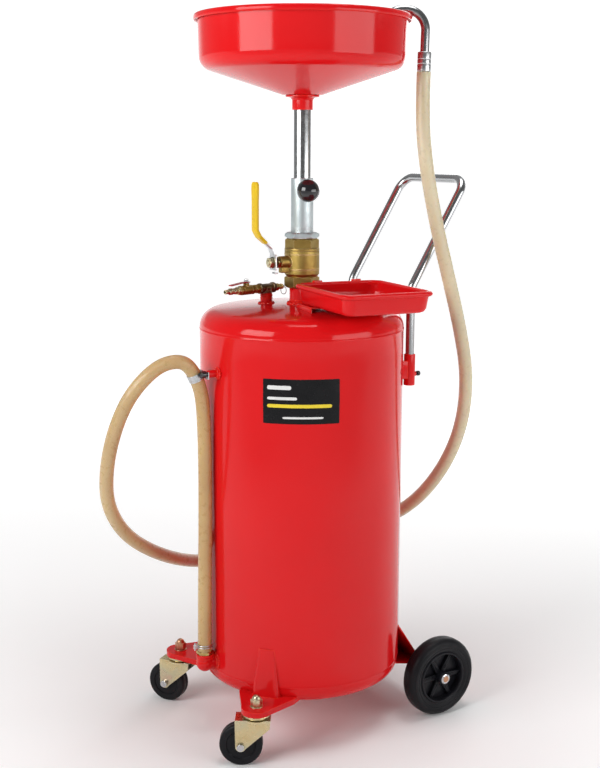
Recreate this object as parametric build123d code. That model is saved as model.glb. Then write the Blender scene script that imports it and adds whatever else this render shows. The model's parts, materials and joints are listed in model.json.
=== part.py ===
from build123d import *
import os
from math import atan2, cos, degrees, pi, radians, sin, sqrt, tan

# Pressurised waste-oil drain: an upright steel tank on two casters and two rear wheels, with a catch bowl
# on a telescopic mast above it.  Millimetres, +Z up, floor at Z = 0.  The model is laid out about the
# tank's axis, casters at -Y and push handle at +Y, and moved to its origin at the very end.

# ---- driving dimensions -------------------------------------------------------------------------
TANK_R = 185.0
WALL = 2.5
SHELL_LOW, SHELL_HIGH = 117.0, 744.0
TOP_KNUCKLE, LOW_KNUCKLE = 32.0, 25.0
CROWN_R = 1500.0

NECK_R = 22.5
VALVE_LOW, VALVE_HIGH = 813.0, 901.5
STEM_Z = 860.0
BALL_R, PORT_R = 27.0, 19.5

MAST_OUT_R, MAST_OUT_TOP = 20.0, 1007.5
MAST_IN_R, MAST_IN_LOW, MAST_IN_TOP = 15.5, 526.0, 1146.0
HUB_LOW, BOWL_LOW = 1126.0, 1151.5
BOWL_R, RIM_R, RIM_Z = 183.0, 190.0, 1285.0
BOWL_WALL = 2.0
LOCK_Z, LOCK_DIR = 987.0, -19.0

CASTER_X, CASTER_Y = 147.4, -181.4
CASTER_R, CASTER_W, TRAIL = 38.0, 24.0, 27.0
CASTER_AIM = {"right": (-0.55, -0.83), "left": (-0.82, -0.57)}
REAR_R, REAR_W, REAR_X, REAR_Y = 75.0, 36.0, 152.0, 214.5
AXLE_R = 6.0

HANDLE_X, HANDLE_Y, HANDLE_R = 95.0, 174.5, 8.0
HANDLE_FOOT, HANDLE_BEND_Z = 636.0, 810.0
HANDLE_TOP_Y, HANDLE_TOP_Z = 296.0, 1005.0
SOCKET_R, SOCKET_LOW, SOCKET_HIGH = 10.5, 632.0, 690.0
SCREW_Z = 652.0

TRAY_X, TRAY_Y, TRAY_TURN = 158.0, 24.0, -8.5
TRAY_L, TRAY_W, TRAY_TOP, TRAY_DEPTH = 214.0, 172.0, 827.0, 37.0
TRAY_POST_X, TRAY_POST_L, TRAY_POST_W, TRAY_BOLT_Y = -74.0, 60.0, 156.0, 50.0

RISER_X, RISER_Y, RISER_TOP = -45.0, -48.0, 801.0
LINE_Z, LINE_TURN = 810.0, 14.0

HOSE_R = 12.5
BARB_Y, BARB_TOP = -205.0, 162.0
CLIP_X, CLIP_Z = 20.0, 675.0
HOOK_DIR, HOOK_RHO, HOOK_Z, HOOK_BEND, HOOK_R = 58.0, 178.0, 1259.8, 37.0, 8.0
FERRULE_L = 34.0

AIR_STEM_Y, PLUG_R = -50.0, 4.0

FIT = 0.05

# The hose's route: up the front to its clip, folded over the clip, round the left side and the back of
# the tank, and up to the nozzle on the bowl's rim.
HOSE_ROUTE = [
    (0, -205, 162),
    (0, -204, 255),
    (0, -201, 395),
    (0, -200, 520),
    (0, -202, 600),
    (0, -207, 646),
    (0, -225, 685),
    (-4, -247, 700),
    (-14, -286, 690),
    (-30, -328, 643),
    (-48, -351, 580),
    (-67, -360, 508),
    (-87, -352, 436),
    (-110, -310, 368),
    (-136, -240, 315),
    (-178, -152, 270),
    (-226, -62, 243),
    (-240, 35, 236),
    (-212, 130, 250),
    (-150, 200, 280),
    (-75, 243, 318),
    (5, 262, 372),
    (62, 286, 450),
    (98, 300, 540),
    (118, 293, 640),
    (129, 262, 740),
    (133, 227, 840),
    (130, 199, 935),
    (123, 181, 1030),
    (112, 178, 1115),
    (112.3, 179.8, 1192),
]


# ---- small helpers ------------------------------------------------------------------------------
def rod(start, end, radius, inner=0.0):
    """A round bar or tube from one point to another."""
    a, b = Vector(*start), Vector(*end)
    place = Plane(origin=a, z_dir=b - a)
    bar = extrude(place * Circle(radius), amount=(b - a).length)
    if inner:
        bar -= extrude(place * Circle(inner), amount=(b - a).length)
    return bar


def tube_z(radius, low, high, inner=0.0, x=0.0, y=0.0):
    """An upright round bar or tube."""
    return rod((x, y, low), (x, y, high), radius, inner)


def hex_bar(flats, start, end, turn=0.0):
    """A hexagonal bar, sized across its flats."""
    a, b = Vector(*start), Vector(*end)
    place = Plane(origin=a, z_dir=b - a)
    outline = RegularPolygon(flats / 2, 6, major_radius=False, rotation=turn)
    return extrude(place * outline, amount=(b - a).length)


def spun(points):
    """A solid turned about the tank's axis from corner points (radius, height)."""
    return revolve(Plane.XZ * make_face(Polyline(*points, close=True)), Axis.Z)


def polar(rho, angle, z):
    """A point at a distance from the tank's axis, in degrees round from +X."""
    return (rho * cos(radians(angle)), rho * sin(radians(angle)), z)


def rounded_plate(length, width, corner, low, high):
    """An upright block with rounded corners, centred on the origin."""
    return Pos(0, 0, low) * extrude(RectangleRounded(length, width, corner), amount=high - low)


def bend_radii(route):
    """The largest easy bend at each inner corner of a route."""
    pts = [Vector(*p) for p in route]
    radii = []
    for a, b, c in zip(pts, pts[1:], pts[2:]):
        turn = (b - a).get_angle(c - b)
        shorter = min((b - a).length, (c - b).length)
        radii.append(0.45 * shorter / tan(radians(turn / 2)))
    return radii


def head_outline(radius, knuckle, crown):
    """Half of a dished head: a flat crown, a knuckle and the rim, with the rim at height 0."""
    kc = radius - knuckle
    gap = sqrt((crown - knuckle) ** 2 - kc**2)
    scale = crown / (crown - knuckle)
    joint = (kc * scale, -gap + gap * scale)
    half = (atan2(joint[1], joint[0] - kc)) / 2
    middle = (kc + knuckle * cos(half), knuckle * sin(half))
    top = -gap + crown
    mid_r = joint[0] / 2
    mid = (mid_r, -gap + sqrt(crown**2 - mid_r**2))
    return (radius, 0), middle, joint, mid, (0, top)


def head(radius, knuckle, crown):
    """A solid dished head standing on height 0."""
    rim, middle, joint, mid, top = head_outline(radius, knuckle, crown)
    outline = ThreePointArc(rim, middle, joint) + ThreePointArc(joint, mid, top)
    outline += Polyline(top, (0, 0), rim)
    return revolve(Plane.XZ * make_face(outline), Axis.Z)


def tank_envelope():
    """The tank's whole outside as one solid, for fitting brackets to it."""
    top = Pos(0, 0, SHELL_HIGH) * head(TANK_R, TOP_KNUCKLE, CROWN_R)
    low = Pos(0, 0, SHELL_LOW) * mirror(head(TANK_R, LOW_KNUCKLE, CROWN_R), Plane.XY)
    return tube_z(TANK_R, SHELL_LOW, SHELL_HIGH) + top + low


# ---- tank ---------------------------------------------------------------------------------------
def tank(parts):
    shell = tube_z(TANK_R, SHELL_LOW, SHELL_HIGH, TANK_R - WALL)
    shell -= rod((0, -170, BARB_TOP - 24), (0, -200, BARB_TOP - 24), 16.1)
    wall_y = -sqrt(TANK_R**2 - CLIP_X**2)
    boss = rod((CLIP_X, wall_y + 2, CLIP_Z), (CLIP_X, -204.5, CLIP_Z), 6.5)
    boss += rod((CLIP_X, wall_y + 2, CLIP_Z), (CLIP_X, -188.5, CLIP_Z), 9.0)
    boss -= tube_z(TANK_R - WALL, CLIP_Z - 20, CLIP_Z + 20)
    shell += boss
    shell -= rod((CLIP_X, wall_y - 1.5, CLIP_Z), (CLIP_X, -206, CLIP_Z), 3.0 + FIT)
    parts["tank_shell"] = shell

    top = head(TANK_R, TOP_KNUCKLE, CROWN_R) - head(TANK_R - WALL, TOP_KNUCKLE - WALL, CROWN_R - WALL)
    top = Pos(0, 0, SHELL_HIGH) * top
    top -= tube_z(NECK_R + FIT, 760, 800)
    riser = tube_z(11, 776, RISER_TOP, x=RISER_X, y=RISER_Y)
    riser += tube_z(13.5, 780, 786.5, x=RISER_X, y=RISER_Y)
    tray_z = TRAY_TOP - TRAY_DEPTH
    post = Pos(0, 0, (tray_z + 760) / 2) * Box(TRAY_POST_L, TRAY_POST_W, tray_z - 760)
    post -= Pos(0, 0, 755 + (tray_z - 759) / 2) * Box(TRAY_POST_L - 6, TRAY_POST_W + 9, tray_z - 759)
    for s in (-1, 1):
        post -= Pos(0, s * TRAY_BOLT_Y, tray_z) * Cylinder(3.05, 10)
    post = tray_place() * Pos(TRAY_POST_X, 0, 0) * post
    inside = Pos(0, 0, SHELL_HIGH) * head(TANK_R - WALL, TOP_KNUCKLE - WALL, CROWN_R - WALL)
    top = top + riser + (post - inside)
    top -= tube_z(6.0, 760, RISER_TOP + 1, x=RISER_X, y=RISER_Y)
    parts["tank_top_head"] = top

    low = head(TANK_R, LOW_KNUCKLE, CROWN_R) - head(TANK_R - WALL, LOW_KNUCKLE - WALL, CROWN_R - WALL)
    parts["tank_bottom_head"] = Pos(0, 0, SHELL_LOW) * mirror(low, Plane.XY)

    neck = spun(
        [(18, 770), (NECK_R, 770), (NECK_R, 784.2), (26.5, 784.2), (26.5, 786), (NECK_R, 790)]
        + [(NECK_R, VALVE_LOW), (21.5, VALVE_LOW), (21.5, 829), (18, 829)]
    )
    parts["filler_neck"] = neck

    strap = tube_z(TANK_R + 0.6, 600, 677, TANK_R + 0.05)
    wedge = Rot(0, 0, -32) * Pos(TANK_R, 0, 640) * Box(60, 133, 90)
    parts["data_plate"] = strap & wedge


# ---- ball valve and mast ------------------------------------------------------------------------
def main_valve(parts):
    body = hex_bar(55, (0, 0, VALVE_LOW), (0, 0, 834))
    body += tube_z(31.5, 833, 880)
    body += rod((0, -20, STEM_Z), (0, -48, STEM_Z), 10.75)
    body += Pos(0, -36, STEM_Z - 14) * Box(12, 20, 10)
    body -= tube_z(21.5 + FIT, VALVE_LOW, 830)
    body -= tube_z(PORT_R, 829, 837)
    body -= tube_z(28.0, 836, 880)
    body -= tube_z(29.0 + FIT, 874, 880)
    body -= rod((0, -20, STEM_Z), (0, -48, STEM_Z), 5.0 + FIT)
    parts["valve_body"] = body

    end = hex_bar(53, (0, 0, 881), (0, 0, VALVE_HIGH)) + tube_z(31.5, 880, 884)
    end += tube_z(29.0, 874, 881)
    end -= tube_z(27.6, 874, 879)
    end -= tube_z(26.5 + FIT, 878, 884)
    end -= tube_z(PORT_R, 883, 889)
    end -= tube_z(22.0 + FIT, 888, VALVE_HIGH)
    parts["valve_end"] = end

    ball = Pos(0, 0, STEM_Z) * Sphere(BALL_R)
    ball -= tube_z(PORT_R, STEM_Z - 30, STEM_Z + 30)
    ball -= rod((0, -24.3, STEM_Z), (0, -30, STEM_Z), 5.2)
    parts["valve_ball"] = ball

    chamber = Pos(0, 0, STEM_Z) * Sphere(BALL_R + FIT)
    low_seat = tube_z(27.0, 836, 845.5, PORT_R + 0.5) - chamber
    high_seat = tube_z(26.5, 874.5, 884, PORT_R + 0.5) - chamber
    parts["valve_seats"] = low_seat + high_seat

    nut = hex_bar(19, (0, -48, STEM_Z), (0, -54, STEM_Z))
    parts["valve_packing_nut"] = nut - rod((0, -47, STEM_Z), (0, -55, STEM_Z), 5.0 + 2 * FIT)

    stem = rod((0, -24.6, STEM_Z), (0, -71.5, STEM_Z), 5.0)
    lever_nut = hex_bar(17, (0, -61.5, STEM_Z), (0, -70, STEM_Z)) - stem
    parts["valve_stem"] = stem + lever_nut

    side = [(-61.5, 843), (-61.5, 880), (-78, 894), (-98, 905), (-98, 1001)]
    back = [(-95, 1001), (-95, 906.8), (-76.3, 896.5), (-58.5, 881.4), (-58.5, 846), (-52, 842), (-53.6, 839.5)]
    blade = extrude(Plane.YZ * make_face(Polyline(*side, *back, close=True)), amount=11, both=True)
    blade -= rod((0, -57, STEM_Z), (0, -63, STEM_Z), 5.0)
    parts["valve_lever"] = blade

    sleeve = Pos(0, -96.5, 953.5) * Box(26, 8.5, 97)
    sleeve = fillet(sleeve.edges().filter_by(Axis.Z), 3.6)
    sleeve = fillet(sleeve.faces().sort_by(Axis.Z)[-1].edges(), 3.0)
    parts["valve_lever_grip"] = sleeve - blade


def mast(parts):
    bush = hex_bar(54, (0, 0, VALVE_HIGH), (0, 0, 912)) + tube_z(22.0, 889, 902)
    bush -= tube_z(17.0, 888, 913)
    bush -= tube_z(MAST_OUT_R + FIT, 906, 913)
    parts["mast_bushing"] = bush

    lock_out = polar(26.5, LOCK_DIR, LOCK_Z)
    lock_in = polar(10, LOCK_DIR, LOCK_Z)
    outer = tube_z(MAST_OUT_R, 906, MAST_OUT_TOP, 17.5)
    outer -= rod(lock_in, lock_out, 4.2)
    lip = tube_z(MAST_IN_R + 2.0, 996, 1006.5, MAST_IN_R + FIT)
    foot = tube_z(MAST_IN_R + 2.0, 908, 926, MAST_IN_R + FIT)
    parts["mast_guides"] = lip + foot

    boss = hex_bar(15, polar(18, LOCK_DIR, LOCK_Z), lock_out)
    boss -= tube_z(MAST_OUT_R, 960, 1006)
    boss -= rod(lock_in, lock_out, 4.0 + FIT)
    parts["mast_outer_tube"] = outer + boss
    screw = rod(polar(MAST_IN_R + 0.3, LOCK_DIR, LOCK_Z), polar(40, LOCK_DIR, LOCK_Z), 4.0)
    ball = Pos(*polar(47, LOCK_DIR, LOCK_Z)) * Sphere(20.0)
    ball -= rod(polar(20, LOCK_DIR, LOCK_Z), polar(29.5, LOCK_DIR, LOCK_Z), 25)
    parts["mast_lock_knob"] = (ball - screw) + screw

    parts["mast_inner_tube"] = tube_z(MAST_IN_R, MAST_IN_LOW, MAST_IN_TOP, MAST_IN_R - 1.8)


# ---- bowl ---------------------------------------------------------------------------------------
def bowl(parts):
    outer = FilletPolyline((18.6, BOWL_LOW), (35, BOWL_LOW), (181, 1204), (BOWL_R, RIM_Z - 5), radius=[8, 24])
    wall = outer.offset_2d(BOWL_WALL, side=Side.LEFT, closed=True)
    skin = revolve(Plane.XZ * make_face(wall), Axis.Z)
    rim = [(BOWL_R - 2, RIM_Z - 5.2), (BOWL_R - 2, RIM_Z), (RIM_R, RIM_Z), (RIM_R, RIM_Z - 9)]
    rim += [(RIM_R - 2, RIM_Z - 9), (RIM_R - 2, RIM_Z - 2), (BOWL_R, RIM_Z - 2), (BOWL_R, RIM_Z - 5.2)]
    parts["drain_bowl"] = skin + spun(rim)

    hub = tube_z(18.5, HUB_LOW, BOWL_LOW, MAST_IN_R + FIT)
    hub += tube_z(18.5, BOWL_LOW, BOWL_LOW + 11, 12.0)
    hub -= tube_z(MAST_IN_R + FIT, HUB_LOW, MAST_IN_TOP)
    hub += tube_z(18.5, MAST_IN_TOP, BOWL_LOW, 12.0)
    hub += tube_z(30, BOWL_LOW - 3, BOWL_LOW, 18.0)
    parts["bowl_hub"] = hub

    parts["bowl_locknut"] = tube_z(26, BOWL_LOW + BOWL_WALL + 0.1, BOWL_LOW + 9, 18.55)
    screen = tube_z(34, BOWL_LOW + 11.2, BOWL_LOW + 12.7)
    holes = [
        Pos(r * cos(2 * pi * k / n), r * sin(2 * pi * k / n), BOWL_LOW + 12) * Cylinder(2.5, 6)
        for r, n in ((0, 1), (9, 6), (18, 12), (27, 18))
        for k in range(n)
    ]
    for hole in holes:
        screen -= hole
    parts["bowl_strainer"] = screen


# ---- air line -----------------------------------------------------------------------------------
def air_line(parts):
    """The compressed-air fittings in a row over the riser: relief valve, tee, stop valve and plug."""
    place = Pos(RISER_X, RISER_Y, LINE_Z) * Rot(0, 0, LINE_TURN)

    def along(y0, y1, r):
        return rod((0, y0, 0), (0, y1, 0), r)

    tee = along(19, -19, 8.0) + tube_z(9.5, RISER_TOP - LINE_Z, 0)
    tee += along(19, 13, 9.5) + along(-13, -19, 9.5)
    tee -= along(22, -22, 5.0)
    tee -= tube_z(5.0, RISER_TOP - LINE_Z - 1, 0)
    parts["air_tee"] = place * tee

    body = hex_bar(15, (0, -19, 0), (0, -29, 0)) + along(-28, -34, 6.0)
    body += hex_bar(16, (0, -34, 0), (0, -41, 0))
    body += along(-40, -60, 8.5) + tube_z(5.5, 0, 12.5, y=AIR_STEM_Y)
    body += hex_bar(16, (0, -59, 0), (0, -66, 0))
    body -= along(-18, -67, 4.0)
    body -= tube_z(2.5 + FIT, 0, 13, y=AIR_STEM_Y)
    body -= Pos(0, AIR_STEM_Y, 0) * Sphere(6.4)
    parts["air_valve_body"] = place * body
    ball = Pos(0, AIR_STEM_Y, 0) * Sphere(6.2)
    parts["air_valve_ball"] = place * (ball - along(-40, -60, 3.2))
    stem = tube_z(2.5, 6.3, 20.5, y=AIR_STEM_Y)
    nut = hex_bar(8, (0, AIR_STEM_Y, 15.0), (0, AIR_STEM_Y, 19)) - stem
    parts["air_valve_stem"] = place * (stem + nut)
    side = [(-44, 13.2), (-57, 13.2), (-89, 9.6), (-89, 11.4), (-57, 15.0), (-44, 15.0)]
    blade = extrude(Plane.YZ * make_face(Polyline(*side, close=True)), amount=4.5, both=True)
    parts["air_valve_lever"] = place * (blade - stem)

    plug = hex_bar(14, (0, -66, 0), (0, -73, 0))
    plug += along(-72, -80, 5.6) + along(-80, -84, 4.2) + along(-84, -92, 5.9)
    plug += along(-92, -102, PLUG_R)
    parts["air_inlet_plug"] = place * (plug - along(-65, -103, 2.6))

    relief = hex_bar(13, (0, 19, 0), (0, 28, 0)) + along(27, 41, 5.0)
    relief -= along(18, 38, 2.5)
    relief -= along(37, 42, 1.2 + FIT)
    parts["safety_valve"] = place * relief
    pin = along(38.5, 45.5, 1.2)
    ring = Pos(0, 44.2, -7.6) * Rot(90, 0, 0) * Torus(7.0, 0.8)
    parts["safety_pull_pin"] = place * (pin + ring)


# ---- outlet, clip and hose ----------------------------------------------------------------------
def outlet(parts):
    mid = BARB_TOP - 24
    elbow = rod((0, -176, mid), (0, BARB_Y, mid), 16.0)
    elbow += Pos(0, BARB_Y, mid) * Sphere(16.0)
    elbow += tube_z(16.0, mid, BARB_TOP - 6, 0, 0, BARB_Y)
    elbow -= rod((0, -175, mid), (0, BARB_Y, mid), 9.0)
    elbow -= Pos(0, BARB_Y, mid) * Sphere(9.0)
    elbow -= tube_z(9.0, mid, BARB_TOP, 0, 0, BARB_Y)
    parts["outlet_elbow"] = elbow

    collar = hex_bar(27, (0, BARB_Y, BARB_TOP - 6), (0, BARB_Y, BARB_TOP))
    spigot = tube_z(9.3, BARB_TOP - 1, BARB_TOP + 28, 0, 0, BARB_Y)
    parts["outlet_barb"] = (collar + spigot) - tube_z(7.0, BARB_TOP - 8, BARB_TOP + 30, 0, 0, BARB_Y)

    rings = [Pos(0, BARB_Y, BARB_TOP + h) * Torus(HOSE_R + 1.1, 1.0) for h in (8, 12)]
    ears = [Pos(0, BARB_Y - HOSE_R - 5, BARB_TOP + h) * Box(5, 9, 2) for h in (8, 12)]
    screw = rod((0, BARB_Y - HOSE_R - 7, BARB_TOP + 4), (0, BARB_Y - HOSE_R - 7, BARB_TOP + 17), 1.8)
    clamp = Part() + rings + ears + screw
    parts["hose_clamp"] = clamp - tube_z(HOSE_R + 0.25, 150, 200, 0, 0, BARB_Y)


def hose_clip(parts):
    low, high = Vector(*HOSE_ROUTE[5]), Vector(*HOSE_ROUTE[6])
    tilt = Plane(origin=low + (high - low) * 0.59, z_dir=high - low)
    band = extrude(tilt * Circle(HOSE_R + 1.5), amount=6.5, both=True)
    tab = Pos((CLIP_X + 2) / 2, -205.4, CLIP_Z - 2) * Box(CLIP_X + 12, 1.5, 13)
    band += tab
    band -= extrude(tilt * Circle(HOSE_R + 0.2), amount=40, both=True)
    band -= rod((CLIP_X, -200, CLIP_Z), (CLIP_X, -210, CLIP_Z), 3.3)
    band -= Pos(-15, -205.4, CLIP_Z) * Box(26, 3, 30)
    parts["hose_clip"] = band

    knob = rod((CLIP_X, -206.3, CLIP_Z), (CLIP_X, -208.5, CLIP_Z), 4.5)
    knob += rod((CLIP_X, -208.5, CLIP_Z), (CLIP_X, -217.5, CLIP_Z), 6.2)
    knob += rod((CLIP_X, -192, CLIP_Z), (CLIP_X, -207, CLIP_Z), 3.0)
    parts["hose_clip_knob"] = knob


def hose(parts):
    radii = bend_radii(HOSE_ROUTE)
    path = FilletPolyline(*HOSE_ROUTE, radius=radii)
    start = Vector(*HOSE_ROUTE[1]) - Vector(*HOSE_ROUTE[0])
    section = Plane(origin=HOSE_ROUTE[0], z_dir=start) * Circle(HOSE_R)
    body = sweep(section, path=path)
    parts["drain_hose"] = body
    print("hose bend radii", [round(r) for r in radii])
    print("hose length", round(path.length), "volume", round(body.volume / 1000))
    print("volume over section times length", round(body.volume / (pi * HOSE_R**2 * path.length), 4))


def nozzle(parts):
    """The ferrule on the hose's end, in line with its last run, and the hook over the bowl's rim."""

    def at(rho, z):
        return Vector(*polar(rho, HOOK_DIR, z))

    foot = Vector(*HOSE_ROUTE[-1])
    rise = (foot - Vector(*HOSE_ROUTE[-2])).normalized()
    inner, top = HOOK_RHO - HOOK_BEND, HOOK_Z + HOOK_BEND
    bend_out = foot + rise * ((top - foot.Z) / rise.Z)
    start = foot + rise * 6
    path = FilletPolyline(start, bend_out, at(inner, top), at(inner, HOOK_Z - 32), radius=HOOK_BEND - 0.1)
    place = Plane(origin=start, z_dir=rise)
    bar = sweep(place * Circle(HOOK_R), path=path)
    parts["nozzle_hook"] = bar - sweep(place * Circle(HOOK_R - 1.5), path=path)
    ferrule = extrude(Plane(origin=foot, z_dir=rise) * Circle(12.2), amount=FERRULE_L)
    parts["nozzle_ferrule"] = ferrule - extrude(place * Circle(HOOK_R + 0.1), amount=FERRULE_L)


# ---- running gear -------------------------------------------------------------------------------
def caster_brackets(parts, envelope):
    reach = sqrt(CASTER_X**2 + CASTER_Y**2)
    angle = degrees(atan2(CASTER_Y, CASTER_X))
    corners = [(150, -58), (150, 58), (185, 52), (reach + 6, 26), (reach + 6, -26), (185, -52)]
    outline = make_face(Polyline(*corners, close=True)) + Pos(reach, 0) * Circle(27)
    inset = [(140, -54), (140, 54), (184, 48.5), (reach + 5, 23), (reach + 5, -23), (184, -48.5)]
    pocket = make_face(Polyline(*inset, close=True)) + Pos(reach, 0) * Circle(24)
    plate = Pos(0, 0, 96) * extrude(outline, amount=10) - Pos(0, 0, 96) * extrude(pocket, amount=6)
    gusset = Plane(origin=(150, 0, 100), z_dir=(0, 0, 1)) * Rectangle(90, 52)
    top = Plane(origin=(150, 0, 192), z_dir=(0, 0, 1)) * Rectangle(75, 32)
    upright = loft([gusset.face(), top.face()])
    upright = fillet(upright.edges().filter_by(lambda e: e.center().X > 180 and e.length > 60), 8)
    solid = plate + upright
    solid -= tube_z(6.1, 90, 120, 0, reach, 0)
    right = Rot(0, 0, angle) * solid - envelope
    parts["caster_brackets"] = right + mirror(right, Plane.YZ)


def caster_mounts(parts):
    """The fixed half of each swivel head with its stem, and the domed nut on top of the bracket."""
    race = tube_z(24.5, 90.2, 96) + tube_z(13, 96, 102) + tube_z(20, 87.3, 90.4)
    race += tube_z(6.0, 81.0, 118) + tube_z(9.0, 80.5, 83.6)
    nut = hex_bar(18, (0, 0, 107.5), (0, 0, 118)) + Pos(0, 0, 117.5) * Sphere(7.8)
    nut += tube_z(11, 106, 107.6)
    nut -= tube_z(6.0, 100, 118.05)
    spots = [Pos(s * CASTER_X, CASTER_Y, 0) for s in (1, -1)]
    parts["caster_swivel_heads"] = spots[0] * race + spots[1] * race
    parts["caster_stem_nuts"] = spots[0] * nut + spots[1] * nut


def caster(parts, side, x, y, aim):
    turn = degrees(atan2(aim[1], aim[0]))
    place = Pos(x, y, 0) * Rot(0, 0, turn)
    wide = CASTER_W / 2 + 5.5
    top = Pos(6, 0, 85.4) * Box(62, 2 * wide, 2.8)
    top += tube_z(24, 84, 86.8)
    outline = Polyline((-25, 86.8), (37, 86.8), (36.2, CASTER_R), (TRAIL, CASTER_R), (18.6, 34), (-24, 72), close=True)
    leg = make_face(outline) + Pos(TRAIL, CASTER_R) * Circle(9.2)
    legs = [Pos(0, s * wide - (2.8 if s > 0 else 0), 0) * Rot(90, 0, 0) * extrude(leg, amount=-2.8) for s in (1, -1)]
    fork = top + legs
    fork -= tube_z(6.0 + FIT, 80, 90)
    fork -= rod((TRAIL, -30, CASTER_R), (TRAIL, 30, CASTER_R), 4.0)
    parts[f"caster_fork_{side}"] = place * fork

    bolt = rod((TRAIL, -wide - 7, CASTER_R), (TRAIL, wide + 3, CASTER_R), 4.0)
    head_end = rod((TRAIL, wide, CASTER_R), (TRAIL, wide + 5, CASTER_R), 6.5)
    nut_end = hex_bar(13, (TRAIL, -wide, CASTER_R), (TRAIL, -wide - 6, CASTER_R))
    parts[f"caster_axle_{side}"] = place * (bolt + head_end + nut_end)

    half = CASTER_W / 2
    tyre = rod((TRAIL, -half, CASTER_R), (TRAIL, half, CASTER_R), CASTER_R)
    tyre = fillet(tyre.edges(), 5.0)
    for s in (1, -1):
        dish = rod((TRAIL, s * (half - 3), CASTER_R), (TRAIL, s * (half + 1), CASTER_R), 25, 13)
        tyre -= dish
    tyre += rod((TRAIL, -half - 2.4, CASTER_R), (TRAIL, half + 2.4, CASTER_R), 8.0)
    tyre -= rod((TRAIL, -half - 5, CASTER_R), (TRAIL, half + 5, CASTER_R), 4.0 + FIT)
    parts[f"caster_wheel_{side}"] = place * tyre


def rear_axle(parts, envelope):
    z = REAR_R
    carrier = [(120, 212), (150, 169.6), (210.5, 79.4), (206.5, 79.4), (204, 87.5), (146, 100.5), (120, 106.5)]
    carrier += [(120, 109.6), (147, 103.4), (201, 91.3), (148, 168), (120, 208)]
    outline = make_face(Polyline(*carrier, close=True))
    channel = Plane.YZ * outline
    channel = extrude(channel, amount=118, both=True)
    tube = rod((-126, REAR_Y, z), (126, REAR_Y, z), 10.5)
    channel = (channel - envelope) + tube
    parts["axle_carrier"] = channel - rod((-130, REAR_Y, z), (130, REAR_Y, z), AXLE_R)
    parts["rear_axle"] = rod((-177, REAR_Y, z), (177, REAR_Y, z), AXLE_R)
    caps = [rod((s * 174.4, REAR_Y, z), (s * 175.9, REAR_Y, z), 9.5, AXLE_R) for s in (1, -1)]
    parts["axle_push_nuts"] = caps[0] + caps[1]


def rear_wheel(parts, side, x):
    z = REAR_R
    half = REAR_W / 2
    tyre = rod((x - half, REAR_Y, z), (x + half, REAR_Y, z), REAR_R)
    tyre = fillet(tyre.edges(), 13)
    tyre -= rod((x - 30, REAR_Y, z), (x + 30, REAR_Y, z), 50.0)
    parts[f"rear_tyre_{side}"] = tyre
    hub = rod((x - 14, REAR_Y, z), (x + 14, REAR_Y, z), 50.0, 45.0)
    hub += rod((x - 5, REAR_Y, z), (x + 5, REAR_Y, z), 46.0)
    inward = -1 if x > 0 else 1
    hub += rod((x + 25 * inward, REAR_Y, z), (x - 22 * inward, REAR_Y, z), 12.0)
    hub -= rod((x - 30, REAR_Y, z), (x + 30, REAR_Y, z), AXLE_R + FIT)
    for k in range(6):
        angle = radians(60 * k + 30)
        window = rod(
            (x - 30, REAR_Y + 30 * cos(angle), z + 30 * sin(angle)),
            (x + 30, REAR_Y + 30 * cos(angle), z + 30 * sin(angle)),
            9.5,
        )
        hub -= window
    parts[f"rear_hub_{side}"] = hub


# ---- handle and tray ----------------------------------------------------------------------------
def handle(parts, envelope):
    points = [(-HANDLE_X, HANDLE_Y, HANDLE_FOOT), (-HANDLE_X, HANDLE_Y, HANDLE_BEND_Z)]
    points += [(-HANDLE_X, HANDLE_TOP_Y, HANDLE_TOP_Z), (HANDLE_X, HANDLE_TOP_Y, HANDLE_TOP_Z)]
    points += [(HANDLE_X, HANDLE_Y, HANDLE_BEND_Z), (HANDLE_X, HANDLE_Y, HANDLE_FOOT)]
    path = FilletPolyline(*points, radius=[40, 30, 30, 40])
    place = Plane(origin=points[0], z_dir=(0, 0, 1))
    bar = sweep(place * Circle(HANDLE_R), path=path) - sweep(place * Circle(HANDLE_R - 1.5), path=path)
    parts["push_handle"] = bar

    sockets = []
    for side, s in (("right", 1), ("left", -1)):
        x = s * HANDLE_X
        socket = tube_z(SOCKET_R, SOCKET_LOW, SOCKET_HIGH, 0, x, HANDLE_Y)
        socket += Pos(x, 160, 661.5) * Box(13, 20, 33)
        socket += Pos(x, HANDLE_Y + 10, SCREW_Z) * Rot(90, 0, 0) * Cylinder(5, 6)
        socket -= envelope
        socket -= tube_z(HANDLE_R + FIT, SOCKET_LOW + 2, SOCKET_HIGH + 1, 0, x, HANDLE_Y)
        socket -= rod((x, HANDLE_Y, SCREW_Z), (x, HANDLE_Y + 20, SCREW_Z), 2.5 + FIT)
        sockets.append(socket)
        screw = rod((x, HANDLE_Y + HANDLE_R + 0.3, SCREW_Z), (x, HANDLE_Y + 18, SCREW_Z), 2.5)
        screw += rod((x, HANDLE_Y + 17, SCREW_Z), (x, HANDLE_Y + 23, SCREW_Z), 4.5)
        parts[f"handle_screw_{side}"] = screw
    parts["handle_sockets"] = sockets[0] + sockets[1]


def tray_place():
    """Where the tray's own centre lies, in plan."""
    return Pos(TRAY_X, TRAY_Y, 0) * Rot(0, 0, TRAY_TURN)


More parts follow.
